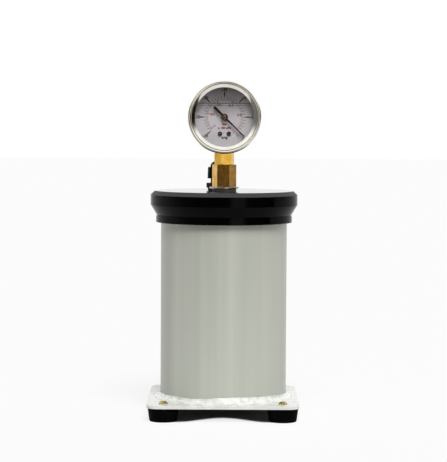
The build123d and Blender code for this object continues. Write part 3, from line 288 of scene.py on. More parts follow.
SOFT_LIGHT = 0.42
# The ceiling fades in between these heights of the unit vector towards it.
CEILING_LOW = 0.15
CEILING_HIGH = 0.45

world = bpy.data.worlds.new("studio")
bpy.context.scene.world = world
world.use_nodes = True
sky = world.node_tree
sky.nodes.clear()
direction = add_node(sky, "SeparateXYZ", Vector=add_node(sky, "TexCoord").outputs["Generated"])
front = add_node(sky, "Math", {"operation": "MULTIPLY"}, in_0=direction.outputs["Y"], in_1=-1.0)
angle = add_node(sky, "Math", {"operation": "ARCTAN2"}, in_0=direction.outputs["X"], in_1=front)
compass = add_node(sky, "MapRange", Value=angle, From_Min=-math.pi, From_Max=math.pi)
ceiling = add_node(sky, "MapRange", {"interpolation_type": "SMOOTHSTEP"}, Value=direction.outputs["Z"],
                   From_Min=CEILING_LOW, From_Max=CEILING_HIGH)
room = add_node(sky, "ValToRGB", stops=ROOM, Fac=compass)
mirrored_room = add_node(sky, "Mix", {"data_type": "RGBA"}, in_0=ceiling, in_6=room, in_7=linear("F4F4F2"))
cloth = add_node(sky, "ValToRGB", stops=CLOTH, Fac=compass)
ray = add_node(sky, "LightPath")
mirrored = add_node(sky, "Math", {"operation": "MAXIMUM"},
                    in_0=ray.outputs["Is Glossy Ray"], in_1=ray.outputs["Is Transmission Ray"])
soft = add_node(sky, "Background", Color=cloth, Strength=SOFT_LIGHT)
walls = add_node(sky, "Background", Color=mirrored_room.outputs[2], Strength=ROOM_STRENGTH)
white = add_node(sky, "Background", Color=linear("FFFFFF"), Strength=1.0)
lit = add_node(sky, "MixShader", in_0=mirrored, in_1=soft, in_2=walls)
seen = add_node(sky, "MixShader", in_0=ray.outputs["Is Camera Ray"], in_1=lit, in_2=white)
add_node(sky, "OutputWorld", Surface=seen)
print("room stops:", len(ROOM), "cloth stops:", len(CLOTH))


# %% Overhead lamp
LAMP_PLACE = (0.14, -0.85, 1.3)
LAMP_STRENGTH = 2.6
LAMP_SPREAD = 32
CHAMBER_MIDDLE = (0, 0, 0.15)

lamp_data = bpy.data.lights.new("overhead", "SUN")
lamp_data.energy = LAMP_STRENGTH
lamp_data.angle = math.radians(LAMP_SPREAD)
overhead = bpy.data.objects.new("overhead", lamp_data)
bpy.context.scene.collection.objects.link(overhead)
look = (Vector(CHAMBER_MIDDLE) - Vector(LAMP_PLACE)).to_track_quat("-Z", "Y").to_matrix().to_4x4()
overhead.matrix_world = Matrix.Translation(LAMP_PLACE) @ look
# In the cap and the bezel it would show as a hard patch, so what they mirror is the painted room alone.
overhead.visible_glossy = False
print("lamps:", [light.name for light in bpy.data.lights])


# %% [markdown]
# ## Plastics and rubber
# The plate is sheet steel with powder coat. The powder melts in an oven and flows to a glossy skin with
# a faint orange peel. The pipe is extruded PVC, drawn along one way, so it has soft streaks from end to
# end. The cap was turned on a lathe from black plastic and polished, so its gloss runs in rings.

# %% Powder coat on the plate
def powder_coat():
    """Glossy white powder coat: a nearly even white, and an orange peel 2 mm across in its gloss."""
    material, tree, place = new_material("white_powder_coat")
    mottle = add_node(tree, "TexNoise", Vector=place, Scale=1 / (12 * MM), Detail=3.0)
    tone = add_node(tree, "ValToRGB", stops=((0.3, "DADBD8"), (0.7, "E4E5E2")), Fac=mottle)
    peel = add_node(tree, "TexNoise", Vector=place, Scale=1 / (2 * MM), Detail=1.0)
    skin = add_node(tree, "Bump", Height=peel, Strength=0.5, Distance=0.02 * MM)
    gloss = add_node(tree, "MapRange", Value=mottle, To_Min=0.2, To_Max=0.34)
    paint = add_node(tree, "BsdfPrincipled", Base_Color=tone, Roughness=gloss, IOR=1.5, Normal=skin)
    add_node(tree, "OutputMaterial", Surface=paint)
    return material


dress_nodes(powder_coat(), "base_plate")


# %% Extruded PVC pipe
def extruded_pvc():
    """Off-white PVC: streaks a few mm wide that run the whole length, and a half gloss."""
    material, tree, place = new_material("extruded_white_pvc")
    along = add_node(tree, "Mapping", Vector=place, Scale=(1.0, 1.0, 0.015))
    streak = add_node(tree, "TexNoise", Vector=along, Scale=1 / (16 * MM), Detail=2.0)
    tone = add_node(tree, "ValToRGB", stops=((0.3, "B7BBB0"), (0.5, "BEC1B6"), (0.7, "C5C7BB")), Fac=streak)
    fine = add_node(tree, "TexNoise", Vector=along, Scale=1 / (2.5 * MM), Detail=2.0)
    draw = add_node(tree, "Bump", Height=fine, Strength=0.2, Distance=0.01 * MM)
    gloss = add_node(tree, "MapRange", Value=streak, To_Min=0.26, To_Max=0.42)
    wall = add_node(tree, "BsdfPrincipled", Base_Color=tone, Roughness=gloss, IOR=1.53, Normal=draw)
    add_node(tree, "OutputMaterial", Surface=wall)
    return material


# The pipe is round and half glossy, so flats in it would show as bands: a finely turned ring is even.
pipe_low, pipe_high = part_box("chamber_tube")
PIPE_WALL = 6.0
PIPE_CHAMFER = 0.6
outer, foot, top = pipe_high.x / MM, pipe_low.z / MM, pipe_high.z / MM
bore = outer - PIPE_WALL
pipe = lathe("smooth_pipe", [(foot, outer), (top - PIPE_CHAMFER, outer), (top, outer - PIPE_CHAMFER),
                             (top, bore + PIPE_CHAMFER), (top - PIPE_CHAMFER, bore), (foot, bore)])
dress(pipe, extruded_pvc(), "stand")
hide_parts("chamber_tube")


# %% Turned black plastic cap
def turned_plastic():
    """Polished black plastic with rings 0.6 mm apart left by the lathe, that show only in the gloss.

    The chamfer round the top is cut last and left matt, and its grey colour is a painted highlight for
    the light that it catches. The IOR is set below the real 1.5, so that the face stays black."""
    material, tree, place = new_material("turned_black_plastic")
    axes = add_node(tree, "SeparateXYZ", Vector=place)
    flat = add_node(tree, "CombineXYZ", X=axes.outputs["X"], Y=axes.outputs["Y"])
    radius = add_node(tree, "VectorMath", {"operation": "LENGTH"}, in_0=flat)
    run = add_node(tree, "Math", {"operation": "ADD"}, in_0=radius.outputs["Value"], in_1=axes.outputs["Z"])
    turns = add_node(tree, "Math", {"operation": "MULTIPLY"}, in_0=run, in_1=2 * math.pi / (0.6 * MM))
    groove = add_node(tree, "Math", {"operation": "SINE"}, in_0=turns)
    rings = add_node(tree, "Bump", Height=groove, Strength=0.12, Distance=0.004 * MM)
    cloud = add_node(tree, "TexNoise", Vector=place, Scale=1 / (18 * MM), Detail=4.0)
    tone = add_node(tree, "ValToRGB", stops=((0.35, "020203"), (0.7, "060508")), Fac=cloud)
    above = add_node(tree, "Math", {"operation": "GREATER_THAN"}, in_0=axes.outputs["Z"], in_1=CHAMFER_LOW)
    below = add_node(tree, "Math", {"operation": "LESS_THAN"}, in_0=axes.outputs["Z"], in_1=CHAMFER_HIGH)
    chamfer = add_node(tree, "Math", {"operation": "MULTIPLY"}, in_0=above, in_1=below)
    # The chamfer's grey 444444 is a painted highlight, and its rougher gloss below is real.
    colour = add_node(tree, "Mix", {"data_type": "RGBA"}, in_0=chamfer, in_6=tone, in_7=linear("444444"))
    polish = add_node(tree, "MapRange", Value=cloud, To_Min=0.05, To_Max=0.13)
    gloss = add_node(tree, "Mix", in_0=chamfer, in_2=polish, in_3=0.5)
    cap = add_node(tree, "BsdfPrincipled", Base_Color=colour.outputs[2], Roughness=gloss, IOR=1.14,
                   Normal=rings)
    add_node(tree, "OutputMaterial", Surface=cap)
    return material


# The chamfer lies between these two heights, and the cap's flat top is just over the upper one.
_, lid_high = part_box("lid")
CHAMFER_LOW = lid_high.z - 3.65 * MM
CHAMFER_HIGH = lid_high.z - 0.1 * MM
dress_nodes(turned_plastic(), "lid")


# %% Black rubber and nylon
def dull_black(name, dark, light, grain_mm, rough_low, rough_high, ior):
    """A dull black moulding: fine grain in the tone and the gloss. A low IOR keeps the black deep."""
    material, tree, place = new_material(name)
    grain = add_node(tree, "TexNoise", Vector=place, Scale=1 / (grain_mm * MM), Detail=3.0)
    tone = add_node(tree, "ValToRGB", stops=((0.35, dark), (0.7, light)), Fac=grain)
    gloss = add_node(tree, "MapRange", Value=grain, To_Min=rough_low, To_Max=rough_high)
    skin = add_node(tree, "Bump", Height=grain, Strength=0.3, Distance=0.02 * MM)
    moulding = add_node(tree, "BsdfPrincipled", Base_Color=tone, Roughness=gloss, IOR=ior, Normal=skin)
    add_node(tree, "OutputMaterial", Surface=moulding)
    return material


dress_nodes(dull_black("moulded_black_rubber", "010102", "050505", 1.2, 0.55, 0.8, 1.12),
            "foot_front_left", "foot_front_right", "foot_rear_left", "foot_rear_right", "fill_plug")
dress_nodes(dull_black("soft_seal_rubber", "0B0B0B", "171716", 0.8, 0.6, 0.85, 1.45),
            "lid_seal_ring", "valve_seal_ring", "valve_disc", "socket_seal", "window_gasket")
dress_nodes(dull_black("moulded_black_nylon", "010102", "050505", 0.9, 0.3, 0.5, 1.15),
            "valve_base", "valve_body", "valve_locknut")


# %% Fibre gasket
def pressed_fibre():
    """Grey-beige pressed fibre: short flecks of two tones and no gloss."""
    material, tree, place = new_material("pressed_fibre")
    fleck = add_node(tree, "TexNoise", Vector=place, Scale=1 / (0.9 * MM), Detail=4.0)
    tone = add_node(tree, "ValToRGB", stops=((0.3, "BEB298"), (0.55, "D2C6AC"), (0.75, "E2D8C2")), Fac=fleck)
    skin = add_node(tree, "Bump", Height=fleck, Strength=0.6, Distance=0.06 * MM)
    sheet = add_node(tree, "BsdfPrincipled", Base_Color=tone, Roughness=0.7, Normal=skin)
    add_node(tree, "OutputMaterial", Surface=sheet)
    return material


dress_nodes(pressed_fibre(), "port_gasket")


# %% [markdown]
# ## Metals
# The fittings are brass bar, the gauge's case and bezel are stainless steel, and small parts are zinc-
# plated. A metal has no colour of its own beyond what it mirrors, so each one is a tint with its
# own roughness and a fine pattern in it: stains, and scratches that drawing stretches into streaks.

# %% One metal function
def metal(name, dark, light, stain_mm, rough_low, rough_high, stretch=(1, 1, 1), scratch_mm=0.6, relief=0.1):
    """A metal: a tint that goes between two tones in stains, and fine scratches drawn out by stretch."""
    material, tree, place = new_material(name)
    stain = add_node(tree, "TexNoise", Vector=place, Scale=1 / (stain_mm * MM), Detail=4.0)
    tone = add_node(tree, "ValToRGB", stops=((0.3, dark), (0.65, light)), Fac=stain)
    drawn = add_node(tree, "Mapping", Vector=place, Scale=tuple(1 / factor for factor in stretch))
    scratch = add_node(tree, "TexNoise", Vector=drawn, Scale=1 / (scratch_mm * MM), Detail=3.0)
    gloss = add_node(tree, "MapRange", Value=scratch, From_Min=0.3, From_Max=0.7,
                     To_Min=rough_low, To_Max=rough_high)
    skin = add_node(tree, "Bump", Height=scratch, Strength=relief, Distance=0.02 * MM)
    surface = add_node(tree, "BsdfPrincipled", Base_Color=tone, Metallic=1.0, Roughness=gloss, Normal=skin)
    add_node(tree, "OutputMaterial", Surface=surface)
    return material


# Bar brass as turned and milled: a warm yellow, drawn along Z, with a slight tarnish.
dress_nodes(metal("bar_brass", "B98A38", "DDB35E", 7.0, 0.16, 0.3, stretch=(1, 1, 12)),
            "brass_coupling", "port_nipple", "port_locknut")
# The gauge's stem is newer brass, brighter and smoother.
dress_nodes(metal("bright_brass", "CF9C3A", "E4BA5A", 8.0, 0.14, 0.24, stretch=(1, 1, 12)), "gauge_socket")
# Slotted domed screws: handled brass with brown stains.
dress_nodes(metal("stained_screw_brass", "5A4618", "D6B466", 1.6, 0.14, 0.34), "foot_screws")
# Stamped clock brass and phosphor bronze inside the gauge.
dress_nodes(metal("stamped_clock_brass", "B08C46", "CFAE66", 5.0, 0.25, 0.4),
            "tube_tip", "movement_back_plate", "movement_front_plate", "movement_pillars",
            "sector_gear", "spring_stud", "dial_posts")
dress_nodes(metal("phosphor_bronze", "A86E42", "C98F5C", 6.0, 0.25, 0.4), "bourdon_tube", "hairspring")
# Zinc-plated and plain steel.
dress_nodes(metal("zinc_plated_steel", "A3A4A2", "C6C7C4", 3.0, 0.22, 0.4),
            "foot_washers", "foot_nuts", "port_washer", "port_inner_washer", "case_screws", "tip_pin",
            "movement_screws", "pinion_spindle", "sector_arbor", "link", "link_pin")
# Blackened screws hold the dial, and the stop pin is bright nickel.
dress_nodes(metal("blackened_steel", "38383A", "5A5A5C", 2.0, 0.3, 0.45), "dial_screws")
dress_nodes(metal("bright_nickel", "E4E4E0", "F2F2EE", 2.0, 0.25, 0.4), "stop_pin")
# Deep-drawn case: drawing leaves long streaks along Y.
dress_nodes(metal("drawn_stainless", "B4B3AF", "C9C8C3", 12.0, 0.2, 0.28, stretch=(1, 14, 1), relief=0.02),
            "gauge_case")
# Dark bronze cap on the pointer's hub.
dress_nodes(metal("dark_bronze", "5A4228", "8A6B40", 2.0, 0.18, 0.3), "pointer_hub")


# %% [markdown]
# ## The bezel
# The bezel is sheet steel rolled over the case and polished. It is nearly a mirror, so any unevenness in
# its surface shows as a hatch in what it mirrors. A fine surface of revolution is the way to get it
# even: the profile of the ring, as points of depth and radius, goes round the gauge's axis in 256 steps.

# %% Bezel ring
bezel_low, bezel_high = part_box("gauge_bezel")
GAUGE_AXIS = (bezel_low.z + bezel_high.z) / 2
BEZEL_FRONT = bezel_low.y / MM
BEZEL_BACK = bezel_high.y / MM
BEZEL_RADIUS = bezel_high.x / MM
SHEET = 0.8
SIDE_SHEET = 0.9
HOOK = 2.0
OPENING_RADIUS = BEZEL_RADIUS - 6.3
GROOVE_RADIUS = BEZEL_RADIUS - 3.1
WINDOW_FRONT = BEZEL_FRONT + 3.0
# Behind the rolled edge the slope to the window starts at this depth and step inwards, and bulges a little.
GROOVE_DEPTH = 0.8
GROOVE_STEP = 0.4
SLOPE_BULGE = (-0.18, 0.3)


def arc(start, middle, end, steps):
    """Points on the circle through three points, from start to end.

    The centre solves |p - c| equal for the three points. The angle goes from start to end past middle."""
    start, middle, end = (np.array(point, float) for point in (start, middle, end))
    sides = 2 * np.array([middle - start, end - start])
    centre = np.linalg.solve(sides, [middle @ middle - start @ start, end @ end - start @ start])
    first, via, last = (math.atan2(*(point - centre)[::-1]) for point in (start, middle, end))
    turn = (last - first) % (2 * math.pi)
    if (via - first) % (2 * math.pi) > turn:
        turn -= 2 * math.pi
    angle = first + np.linspace(0, turn, steps)
    reach = np.linalg.norm(start - centre)
    return np.stack([centre[0] + reach * np.cos(angle), centre[1] + reach * np.sin(angle)], axis=1)


ROLL = (BEZEL_RADIUS - GROOVE_RADIUS) / 2
groove_end = (BEZEL_FRONT + GROOVE_DEPTH, GROOVE_RADIUS - GROOVE_STEP)
lip = (WINDOW_FRONT - SHEET, OPENING_RADIUS)
slope_middle = np.add(groove_end, lip) / 2 + SLOPE_BULGE
profile = np.concatenate([
    [(BEZEL_BACK, BEZEL_RADIUS)],
    arc((BEZEL_FRONT + ROLL, BEZEL_RADIUS), (BEZEL_FRONT, BEZEL_RADIUS - ROLL),
        (BEZEL_FRONT + ROLL, GROOVE_RADIUS), 25),
    arc(groove_end, slope_middle, lip, 13),
    [(WINDOW_FRONT, OPENING_RADIUS), (WINDOW_FRONT, BEZEL_RADIUS - SIDE_SHEET),
     (BEZEL_BACK - SHEET, BEZEL_RADIUS - SIDE_SHEET), (BEZEL_BACK - SHEET, BEZEL_RADIUS - HOOK),
     (BEZEL_BACK, BEZEL_RADIUS - HOOK)]])
bezel = lathe("rolled_bezel", profile, axis_height=GAUGE_AXIS)
dress(bezel, metal("polished_stainless", "E8E5DC", "F2F0EA", 9.0, 0.1, 0.16, relief=0.0), "lid_group")
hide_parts("gauge_bezel")


# %% [markdown]
# ## The gauge's face
# The dial is aluminium sheet with silver-grey paint, and its scales are printed in black and red ink.
# The numbers could be a texture, but geometry stays sharp at any distance. So each mark is a sheet of ink
# 0.04 mm thick on the dial: the ticks are boxes worked out from their angles, and the numerals are
# text turned into mesh. The outer scale counts inches of mercury from 0 to -30 over 270 degrees.

# %% Paints of the dial and pointer
def flat_paint(name, dark, light, grain_mm, rough_low, rough_high, relief=0.3, ior=1.5):
    """A thin coat of paint or ink: fine grain in the tone, and a dull gloss that varies with it."""
    material, tree, place = new_material(name)
    grain = add_node(tree, "TexNoise", Vector=place, Scale=1 / (grain_mm * MM), Detail=3.0)
    tone = add_node(tree, "ValToRGB", stops=((0.3, dark), (0.7, light)), Fac=grain)
    gloss = add_node(tree, "MapRange", Value=grain, To_Min=rough_low, To_Max=rough_high)
    skin = add_node(tree, "Bump", Height=grain, Strength=relief, Distance=0.01 * MM)
    coat = add_node(tree, "BsdfPrincipled", Base_Color=tone, Roughness=gloss, IOR=ior, Normal=skin)
    add_node(tree, "OutputMaterial", Surface=coat)
    return material


dress_nodes(flat_paint("silver_grey_paint", "E4E3E6", "EFEEF1", 0.5, 0.4, 0.6), "gauge_dial")
dress_nodes(flat_paint("black_pointer_paint", "030303", "080808", 0.6, 0.35, 0.5, ior=1.2), "pointer")
black_ink = flat_paint("black_dial_ink", "060606", "0E0E0E", 0.3, 0.45, 0.6, ior=1.25)
red_ink = flat_paint("red_dial_ink", "8E0A24", "A81434", 0.3, 0.45, 0.6, ior=1.25)

# %% Where the dial is
dial_low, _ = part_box("gauge_dial")
DIAL_FRONT = dial_low.y
INK = 0.04 * MM
ZERO_ANGLE = -45.0
FULL_TURN = 270.0
print("dial front", round(DIAL_FRONT, 5), "axis height", round(GAUGE_AXIS, 5))


# %% Ticks
def ticks(name, angles, inner, outer, width):
    """Flat radial bars on the dial, one for each angle.

    The corners of a bar are (radius, side) = (inner or outer, -width/2 or width/2). They are turned by the
    bar's angle, x = r cos a - s sin a and z = r sin a + s cos a, once on the dial and once an ink's
    thickness in front of it."""
    angle = np.radians(np.asarray(angles, float))[:, None]
    radius = np.array([inner, outer, outer, inner] * 2)[None] * MM
    side = np.array([-1, -1, 1, 1] * 2)[None] * width / 2 * MM
    depth = np.array([0] * 4 + [INK] * 4)[None] + 0 * angle
    x = radius * np.cos(angle) - side * np.sin(angle)
    z = radius * np.sin(angle) + side * np.cos(angle) + GAUGE_AXIS
    points = np.stack([x, DIAL_FRONT - depth, z], axis=2).reshape(-1, 3)
    return mesh_object(name, points, box_faces(len(angle)), smooth=False)


INCHES = 30
INCHES_IN_A_BAR = 29.53
BAR_PARTS = 50
BAR_TURN = FULL_TURN * INCHES_IN_A_BAR / INCHES
inch_angles = ZERO_ANGLE + np.arange(0, INCHES + 1) * FULL_TURN / INCHES
bar_angles = ZERO_ANGLE + np.arange(0, BAR_PARTS + 1) / BAR_PARTS * BAR_TURN
# Each row: name, angles, inner and outer radius and width in mm, ink.
for name, angles, inner, outer_end, width, ink in (
        ("inch_ticks_large", inch_angles[::5], 18.9, 22.8, 1.0, black_ink),
        ("inch_ticks_small", inch_angles, 16.9, 18.7, 0.46, black_ink),
        ("bar_ticks_large", bar_angles[::10], 14.2, 16.6, 0.7, red_ink),
        ("bar_ticks_small", bar_angles, 15.0, 16.6, 0.36, red_ink)):
    dress(ticks(name, angles, inner, outer_end, width), ink, "lid_group")


# %% Numerals
def numerals(name, marks, height, weight):
    """Text laid on the dial, each string centred on (radius, angle) in mm and degrees.

    Every string is a text curve with a thickness, turned into a mesh; its x and y become the dial's x and
    z, and all strings join in one mesh."""
    points, faces, count = [], [], 0
    for words, radius, angle in marks:
        curve = bpy.data.curves.new(name, "FONT")
        curve.body = words
        curve.size = height * MM
        curve.extrude = INK / 2
        curve.offset = weight * MM
        curve.resolution_u = 3
        curve.align_x, curve.align_y = "CENTER", "CENTER"
        text = bpy.data.objects.new(name, curve)
        bpy.context.scene.collection.objects.link(text)
        bpy.context.view_layer.update()
        mesh = bpy.data.meshes.new_from_object(text.evaluated_get(bpy.context.evaluated_depsgraph_get()))
        bpy.data.objects.remove(text)
        flat = np.zeros(len(mesh.vertices) * 3)
        mesh.vertices.foreach_get("co", flat)
        flat = flat.reshape(-1, 3)
        across = flat[:, 0] + radius * MM * math.cos(math.radians(angle))
        up = flat[:, 1] + radius * MM * math.sin(math.radians(angle)) + GAUGE_AXIS
        points.append(np.stack([across, DIAL_FRONT - INK / 2 - flat[:, 2], up], axis=1))
        faces += [tuple(corner + count for corner in face.vertices) for face in mesh.polygons]
        count += len(flat)
        bpy.data.meshes.remove(mesh)
    piece = mesh_object(name, np.concatenate(points), faces, smooth=False)
    face_outwards(piece.data, weld=0.002 * MM)
    return piece


inch_marks = [(f"-{5 * step}" if step else "0", 24.4, ZERO_ANGLE + 45 * step) for step in range(7)]
bar_radii = (13.2, 11.6, 11.9, 11.6, 12.2)
bar_marks = [(f"-{0.2 * step:.1f}" if step < 5 else "-1", radius, ZERO_ANGLE + BAR_TURN * step / 5)
             for step, radius in zip(range(1, 6), bar_radii)]
# Each row: name, marks, height of the text and weight added to its strokes in mm, ink.
for name, marks, height, weight, ink in (
        ("inch_numerals", inch_marks, 3.5, 0.12, black_ink),
        ("bar_numerals", bar_marks, 3.0, 0.09, red_ink),
        ("bar_unit", [("bar", 6.4, -90), ("x 100 kPa", 9.9, -90)], 2.9, 0.13, red_ink),
        ("inch_unit", [("inHg", 18.6, -90)], 2.8, 0.13, black_ink)):
    dress(numerals(name, marks, height, weight), ink, "lid_group")


# %% [markdown]
# ## Window and liquid
# The case is filled nearly to the top with glycerine, which damps the pointer. Only its front layer
# can be seen, so only that is modelled: a sheet just behind the window, in front of the pointer's hub,
# that ends at the liquid's level. Glycerine wets the window and climbs up it, so the sheet's top is
# lower at the back than at the front. Light has to come through both layers to the dial, so for
# shadow rays both are clear. The curved edge itself is drawn as two dark lines, a painted shade: seen
# end on, the curved surface bends the view to the dark front of the room.

# %% Clear materials
def clear(name, tint, ior, ripple_mm, shade=()):
    """A clear solid: it bends what is behind it, mirrors a little, and casts no shadow.

    With a shade, ((mm over the gauge's axis, hex), ...), light that goes through it is dimmed by height."""
    material, tree, place = new_material(name)
    ripple = add_node(tree, "TexNoise", Vector=place, Scale=1 / (ripple_mm * MM), Detail=1.0)
    skin = add_node(tree, "Bump", Height=ripple, Strength=0.1, Distance=0.002 * MM)
    solid = add_node(tree, "BsdfPrincipled", Base_Color=linear(tint), Roughness=0.0, IOR=ior,
                     Transmission_Weight=1.0, Normal=skin)
    lit = add_node(tree, "BsdfTransparent", Color=linear(tint))
    if shade:
        low, high = GAUGE_AXIS + shade[0][0] * MM, GAUGE_AXIS + shade[-1][0] * MM
        height = add_node(tree, "MapRange", From_Min=low, From_Max=high,
                          Value=add_node(tree, "SeparateXYZ", Vector=place).outputs["Z"])
        stops = [((level - shade[0][0]) / (shade[-1][0] - shade[0][0]), code) for level, code in shade]
        tree.links.new(add_node(tree, "ValToRGB", stops=stops, Fac=height).outputs[0], lit.inputs["Color"])
    ray = add_node(tree, "LightPath")
    soft = add_node(tree, "MixShader", in_0=ray.outputs["Is Diffuse Ray"], in_1=solid, in_2=lit)
    mix = add_node(tree, "MixShader", in_0=ray.outputs["Is Shadow Ray"], in_1=soft, in_2=lit)
    add_node(tree, "OutputMaterial", Surface=mix)
    return material


# The bezel shades the dial's top over the liquid. It is drawn as a shade in the window, darker higher up.
AIR_SHADE = ((14.0, "FFFFFF"), (19.0, "A0A0A0"), (24.0, "606060"), (28.0, "101010"))
dress_nodes(clear("clear_window_plastic", "FCFBFC", 1.49, 20.0, AIR_SHADE), "gauge_window")
glycerine = clear("glycerine", "FBFAFA", 1.47, 30.0)

# %% Front layer of the liquid
_, window_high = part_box("gauge_window")
hub_low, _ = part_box("pointer_hub")
LIQUID_RADIUS = 28.5
LIQUID_LEVEL = 12.4
LIQUID_CLIMB = 2.1
LIQUID_GAP = 0.06


def liquid_sheet(name, columns=96, layers=7):
    """The part of a disc below the liquid's level, drawn out between two depths.

    Each layer is a row of points round the outline. The outline's height is R sin(u), cut at the level:
    from one end of the level line round the bottom to the other end, and back along the line. The
    level falls from the front layer to the back one by climb * (1 - (1 - t)**2), with t from 0 to 1."""
    share = np.linspace(0, 1, layers)[:, None]
    depth = window_high.y + LIQUID_GAP * MM + share * (hub_low.y - window_high.y - 2 * LIQUID_GAP * MM)
    level = (LIQUID_LEVEL - LIQUID_CLIMB * (1 - (1 - share) ** 2)) / LIQUID_RADIUS
    start = math.pi - np.arcsin(level)
    step = np.linspace(0, 1, columns - columns // 4)[None]
    bow = start + step * (math.pi + 2 * np.arcsin(level))
    line = np.linspace(0, 1, columns // 4 + 2)[None, 1:-1]
    x = np.concatenate([np.cos(bow), np.cos(bow[:, -1:]) * (1 - line) + np.cos(bow[:, :1]) * line], axis=1)
    z = np.concatenate([np.sin(bow), level + 0 * line], axis=1)
    y = depth + 0 * x
    points = np.stack([x * LIQUID_RADIUS * MM, y, z * LIQUID_RADIUS * MM + GAUGE_AXIS], axis=2)
    rows, across = x.shape
    sides = ring_faces(rows, across)[: (rows - 1) * across]
    caps = [tuple(range(across))[::-1], tuple(range((rows - 1) * across, rows * across))]
    piece = mesh_object(name, points.reshape(-1, 3), sides.tolist() + caps, smooth=False)
    face_outwards(piece.data)
    return piece


dress(liquid_sheet("glycerine_front_layer"), glycerine, "lid_group")


# %% Meniscus
# The bars lie between these depths behind the window, in mm.
BAR_FRONT = 0.01
BAR_BACK = 0.04


def meniscus(name, lines):
    """The liquid's curved edge, seen end on: thin bars across the window, one per (level, height) in mm.

    A bar ends where its level meets the circle of the liquid, at x = sqrt(R**2 - level**2)."""
    level = np.array([line[0] for line in lines])[:, None]
    tall = np.array([line[1] for line in lines])[:, None]
    end = np.sqrt(LIQUID_RADIUS ** 2 - level ** 2)
    x = end * np.array([-1, 1, 1, -1] * 2)[None]
    z = level + tall * np.array([-0.5, -0.5, 0.5, 0.5] * 2)[None]
    y = window_high.y / MM + np.array([BAR_BACK] * 4 + [BAR_FRONT] * 4)[None] + 0 * x
    points = np.stack([x, y, z + GAUGE_AXIS / MM], axis=2).reshape(-1, 3) * MM
    return mesh_object(name, points, box_faces(len(lines)), smooth=False)


# The bars' dark paint is a painted shade: the curved liquid surface bends the view to the dark room.
edge_shade = flat_paint("meniscus_shade", "2A2C2C", "3A3C3C", 2.0, 0.1, 0.2, relief=0.05)
dress(meniscus("glycerine_meniscus", ((LIQUID_LEVEL, 0.5), (LIQUID_LEVEL - LIQUID_CLIMB, 0.22))), edge_shade,
      "lid_group")


# %% [markdown]
# ## The sealant
# The pipe is bedded on the plate with white silicone, pressed from a tube and smeared with a finger. So
# its edge wanders up and down the pipe, its foot spreads unevenly over the plate, and its skin has lumps
# and ridges that catch the light. It is one closed ring: a profile carried round the pipe. Its height
# is given at some angles, and waves of many lengths with random strengths make the height, the width
# and the bulge uneven in between.

# %% Sealant material
def silicone_sealant():
    """White silicone: an even white, glossy and slightly wet, with smears a few mm long in the gloss."""
    material, tree, place = new_material("smeared_white_silicone")
    smear = add_node(tree, "TexNoise", Vector=place, Scale=1 / (6 * MM), Detail=3.0)
    tone = add_node(tree, "ValToRGB", stops=((0.3, "D9DDD5"), (0.65, "F7F9F5")), Fac=smear)
    lumps = add_node(tree, "TexNoise", Vector=place, Scale=1 / (2.2 * MM), Detail=2.0)
    skin = add_node(tree, "Bump", Height=lumps, Strength=0.5, Distance=0.14 * MM)
    gloss = add_node(tree, "MapRange", Value=smear, To_Min=0.14, To_Max=0.42)
    paste = add_node(tree, "BsdfPrincipled", Base_Color=tone, Roughness=gloss, IOR=1.43, Normal=skin,
                     Coat_Weight=0.3, Coat_Roughness=0.15)
    add_node(tree, "OutputMaterial", Surface=paste)
    return material


# %% Sealant ring
bead_low, bead_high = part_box("sealant_bead")
BEAD_OUTER = bead_high.x / MM
BEAD_INNER = 57.2
BEAD_FOOT = bead_low.z / MM
BEAD_TOP = bead_high.z / MM
# The edge's height on the pipe, in mm over the plate, at angles from the front, positive to the right.
EDGE_ANGLES = (-170, -140, -105, -85, -68, -50, -36, -22, -14, -6, 2,
               10, 20, 28, 36, 43, 52, 61, 75, 100, 130, 155)
EDGE_HEIGHTS = (4.6, 5.2, 4.2, 4.9, 4.1, 4.4, 3.8, 4.3, 4.5, 5.5, 5.8,
                6.0, 5.8, 6.0, 5.5, 5.5, 5.0, 4.7, 4.2, 5.0, 4.4, 5.1)
# In mm: how far the edge and the foot wander, the lip off the pipe, the crest under it, and the lumps.
EDGE_WANDER = 0.35
FOOT_WANDER = 1.1
LIP = 0.5
CREST = 0.35
LUMP = 0.28
# In mm: what the edge keeps under the bead's top, the foot inside its rim, and the ring over the plate.
EDGE_MARGIN = 0.05
FOOT_MARGIN = 0.1
LIFT = 0.01


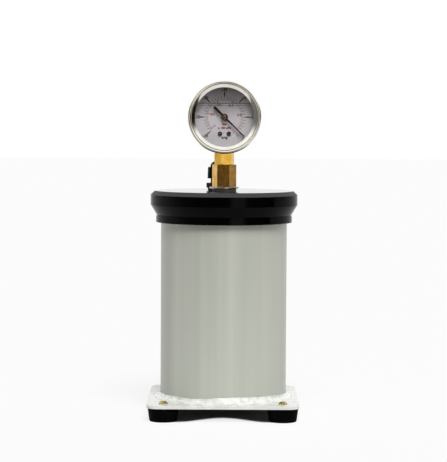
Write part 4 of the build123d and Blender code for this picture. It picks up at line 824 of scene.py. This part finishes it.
def wave(angle, seed, harmonics, fall):
    """A wandering line round the pipe between about -1 and 1: sines of several numbers of turns.

    Each has a random strength, which falls as turns ** -fall, and a random start."""
    random = np.random.default_rng(seed)
    turns = np.arange(2, harmonics)[:, None]
    strength = random.normal(size=turns.shape) / turns ** fall
    start = random.uniform(0, 2 * math.pi, turns.shape)
    line = (strength * np.sin(turns * angle[None] + start)).sum(axis=0)
    return line / np.abs(line).max()


def sealant_ring(name, columns=720, outer_rows=22, inner_rows=4):
    """The profile goes up the pipe, over a thin lip and down a hollow curve to the plate.

    Along the curve, u from 0 to 1, the radius is inner + width * u**1.6 + lip * (1 - u)**2 and the
    height is top * (1 - u)**1.5 + crest * (1 - u) * u. Both get the same push of
    lump * field * sin(pi u)**0.7, where the field is four waves round the pipe, each times cos(pi step u)."""
    angle = np.linspace(0, 2 * math.pi, columns, endpoint=False)
    coarse = np.interp(np.degrees(angle), EDGE_ANGLES, EDGE_HEIGHTS, period=360)
    top = np.minimum(coarse + EDGE_WANDER * wave(angle, 11, 90, 0.5), BEAD_TOP - BEAD_FOOT - EDGE_MARGIN)
    width = BEAD_OUTER - BEAD_INNER - FOOT_MARGIN - FOOT_WANDER * (0.5 + 0.5 * wave(angle, 23, 46, 0.8))
    u = np.linspace(0, 1, outer_rows)[:, None]
    field = sum(wave(angle, 31 + step, 60, 0.55)[None] * np.cos(math.pi * step * u) for step in range(4))
    radius = BEAD_INNER + width[None] * u ** 1.6 + LIP * (1 - u) ** 2
    height = top[None] * (1 - u) ** 1.5 + CREST * (1 - u) * u
    push = LUMP * field * np.sin(math.pi * u) ** 0.7
    radius = np.minimum(radius + push, BEAD_OUTER)
    height = np.clip(height + push, 0.0, BEAD_TOP - BEAD_FOOT)
    climb = np.linspace(0, 1, inner_rows, endpoint=False)[:, None]
    wall_radius = BEAD_INNER + 0 * climb * top[None]
    wall_height = climb * top[None]
    radius = np.concatenate([wall_radius, radius])
    height = np.concatenate([wall_height, height]) + BEAD_FOOT + LIFT
    x, y = radius * np.sin(angle)[None], -radius * np.cos(angle)[None]
    points = np.stack([x, y, height], axis=2).reshape(-1, 3) * MM
    piece = mesh_object(name, points, ring_faces(len(radius), columns))
    face_outwards(piece.data)
    return piece


sealant = sealant_ring("smeared_sealant")
dress(sealant, silicone_sealant(), "stand")
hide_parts("sealant_bead")
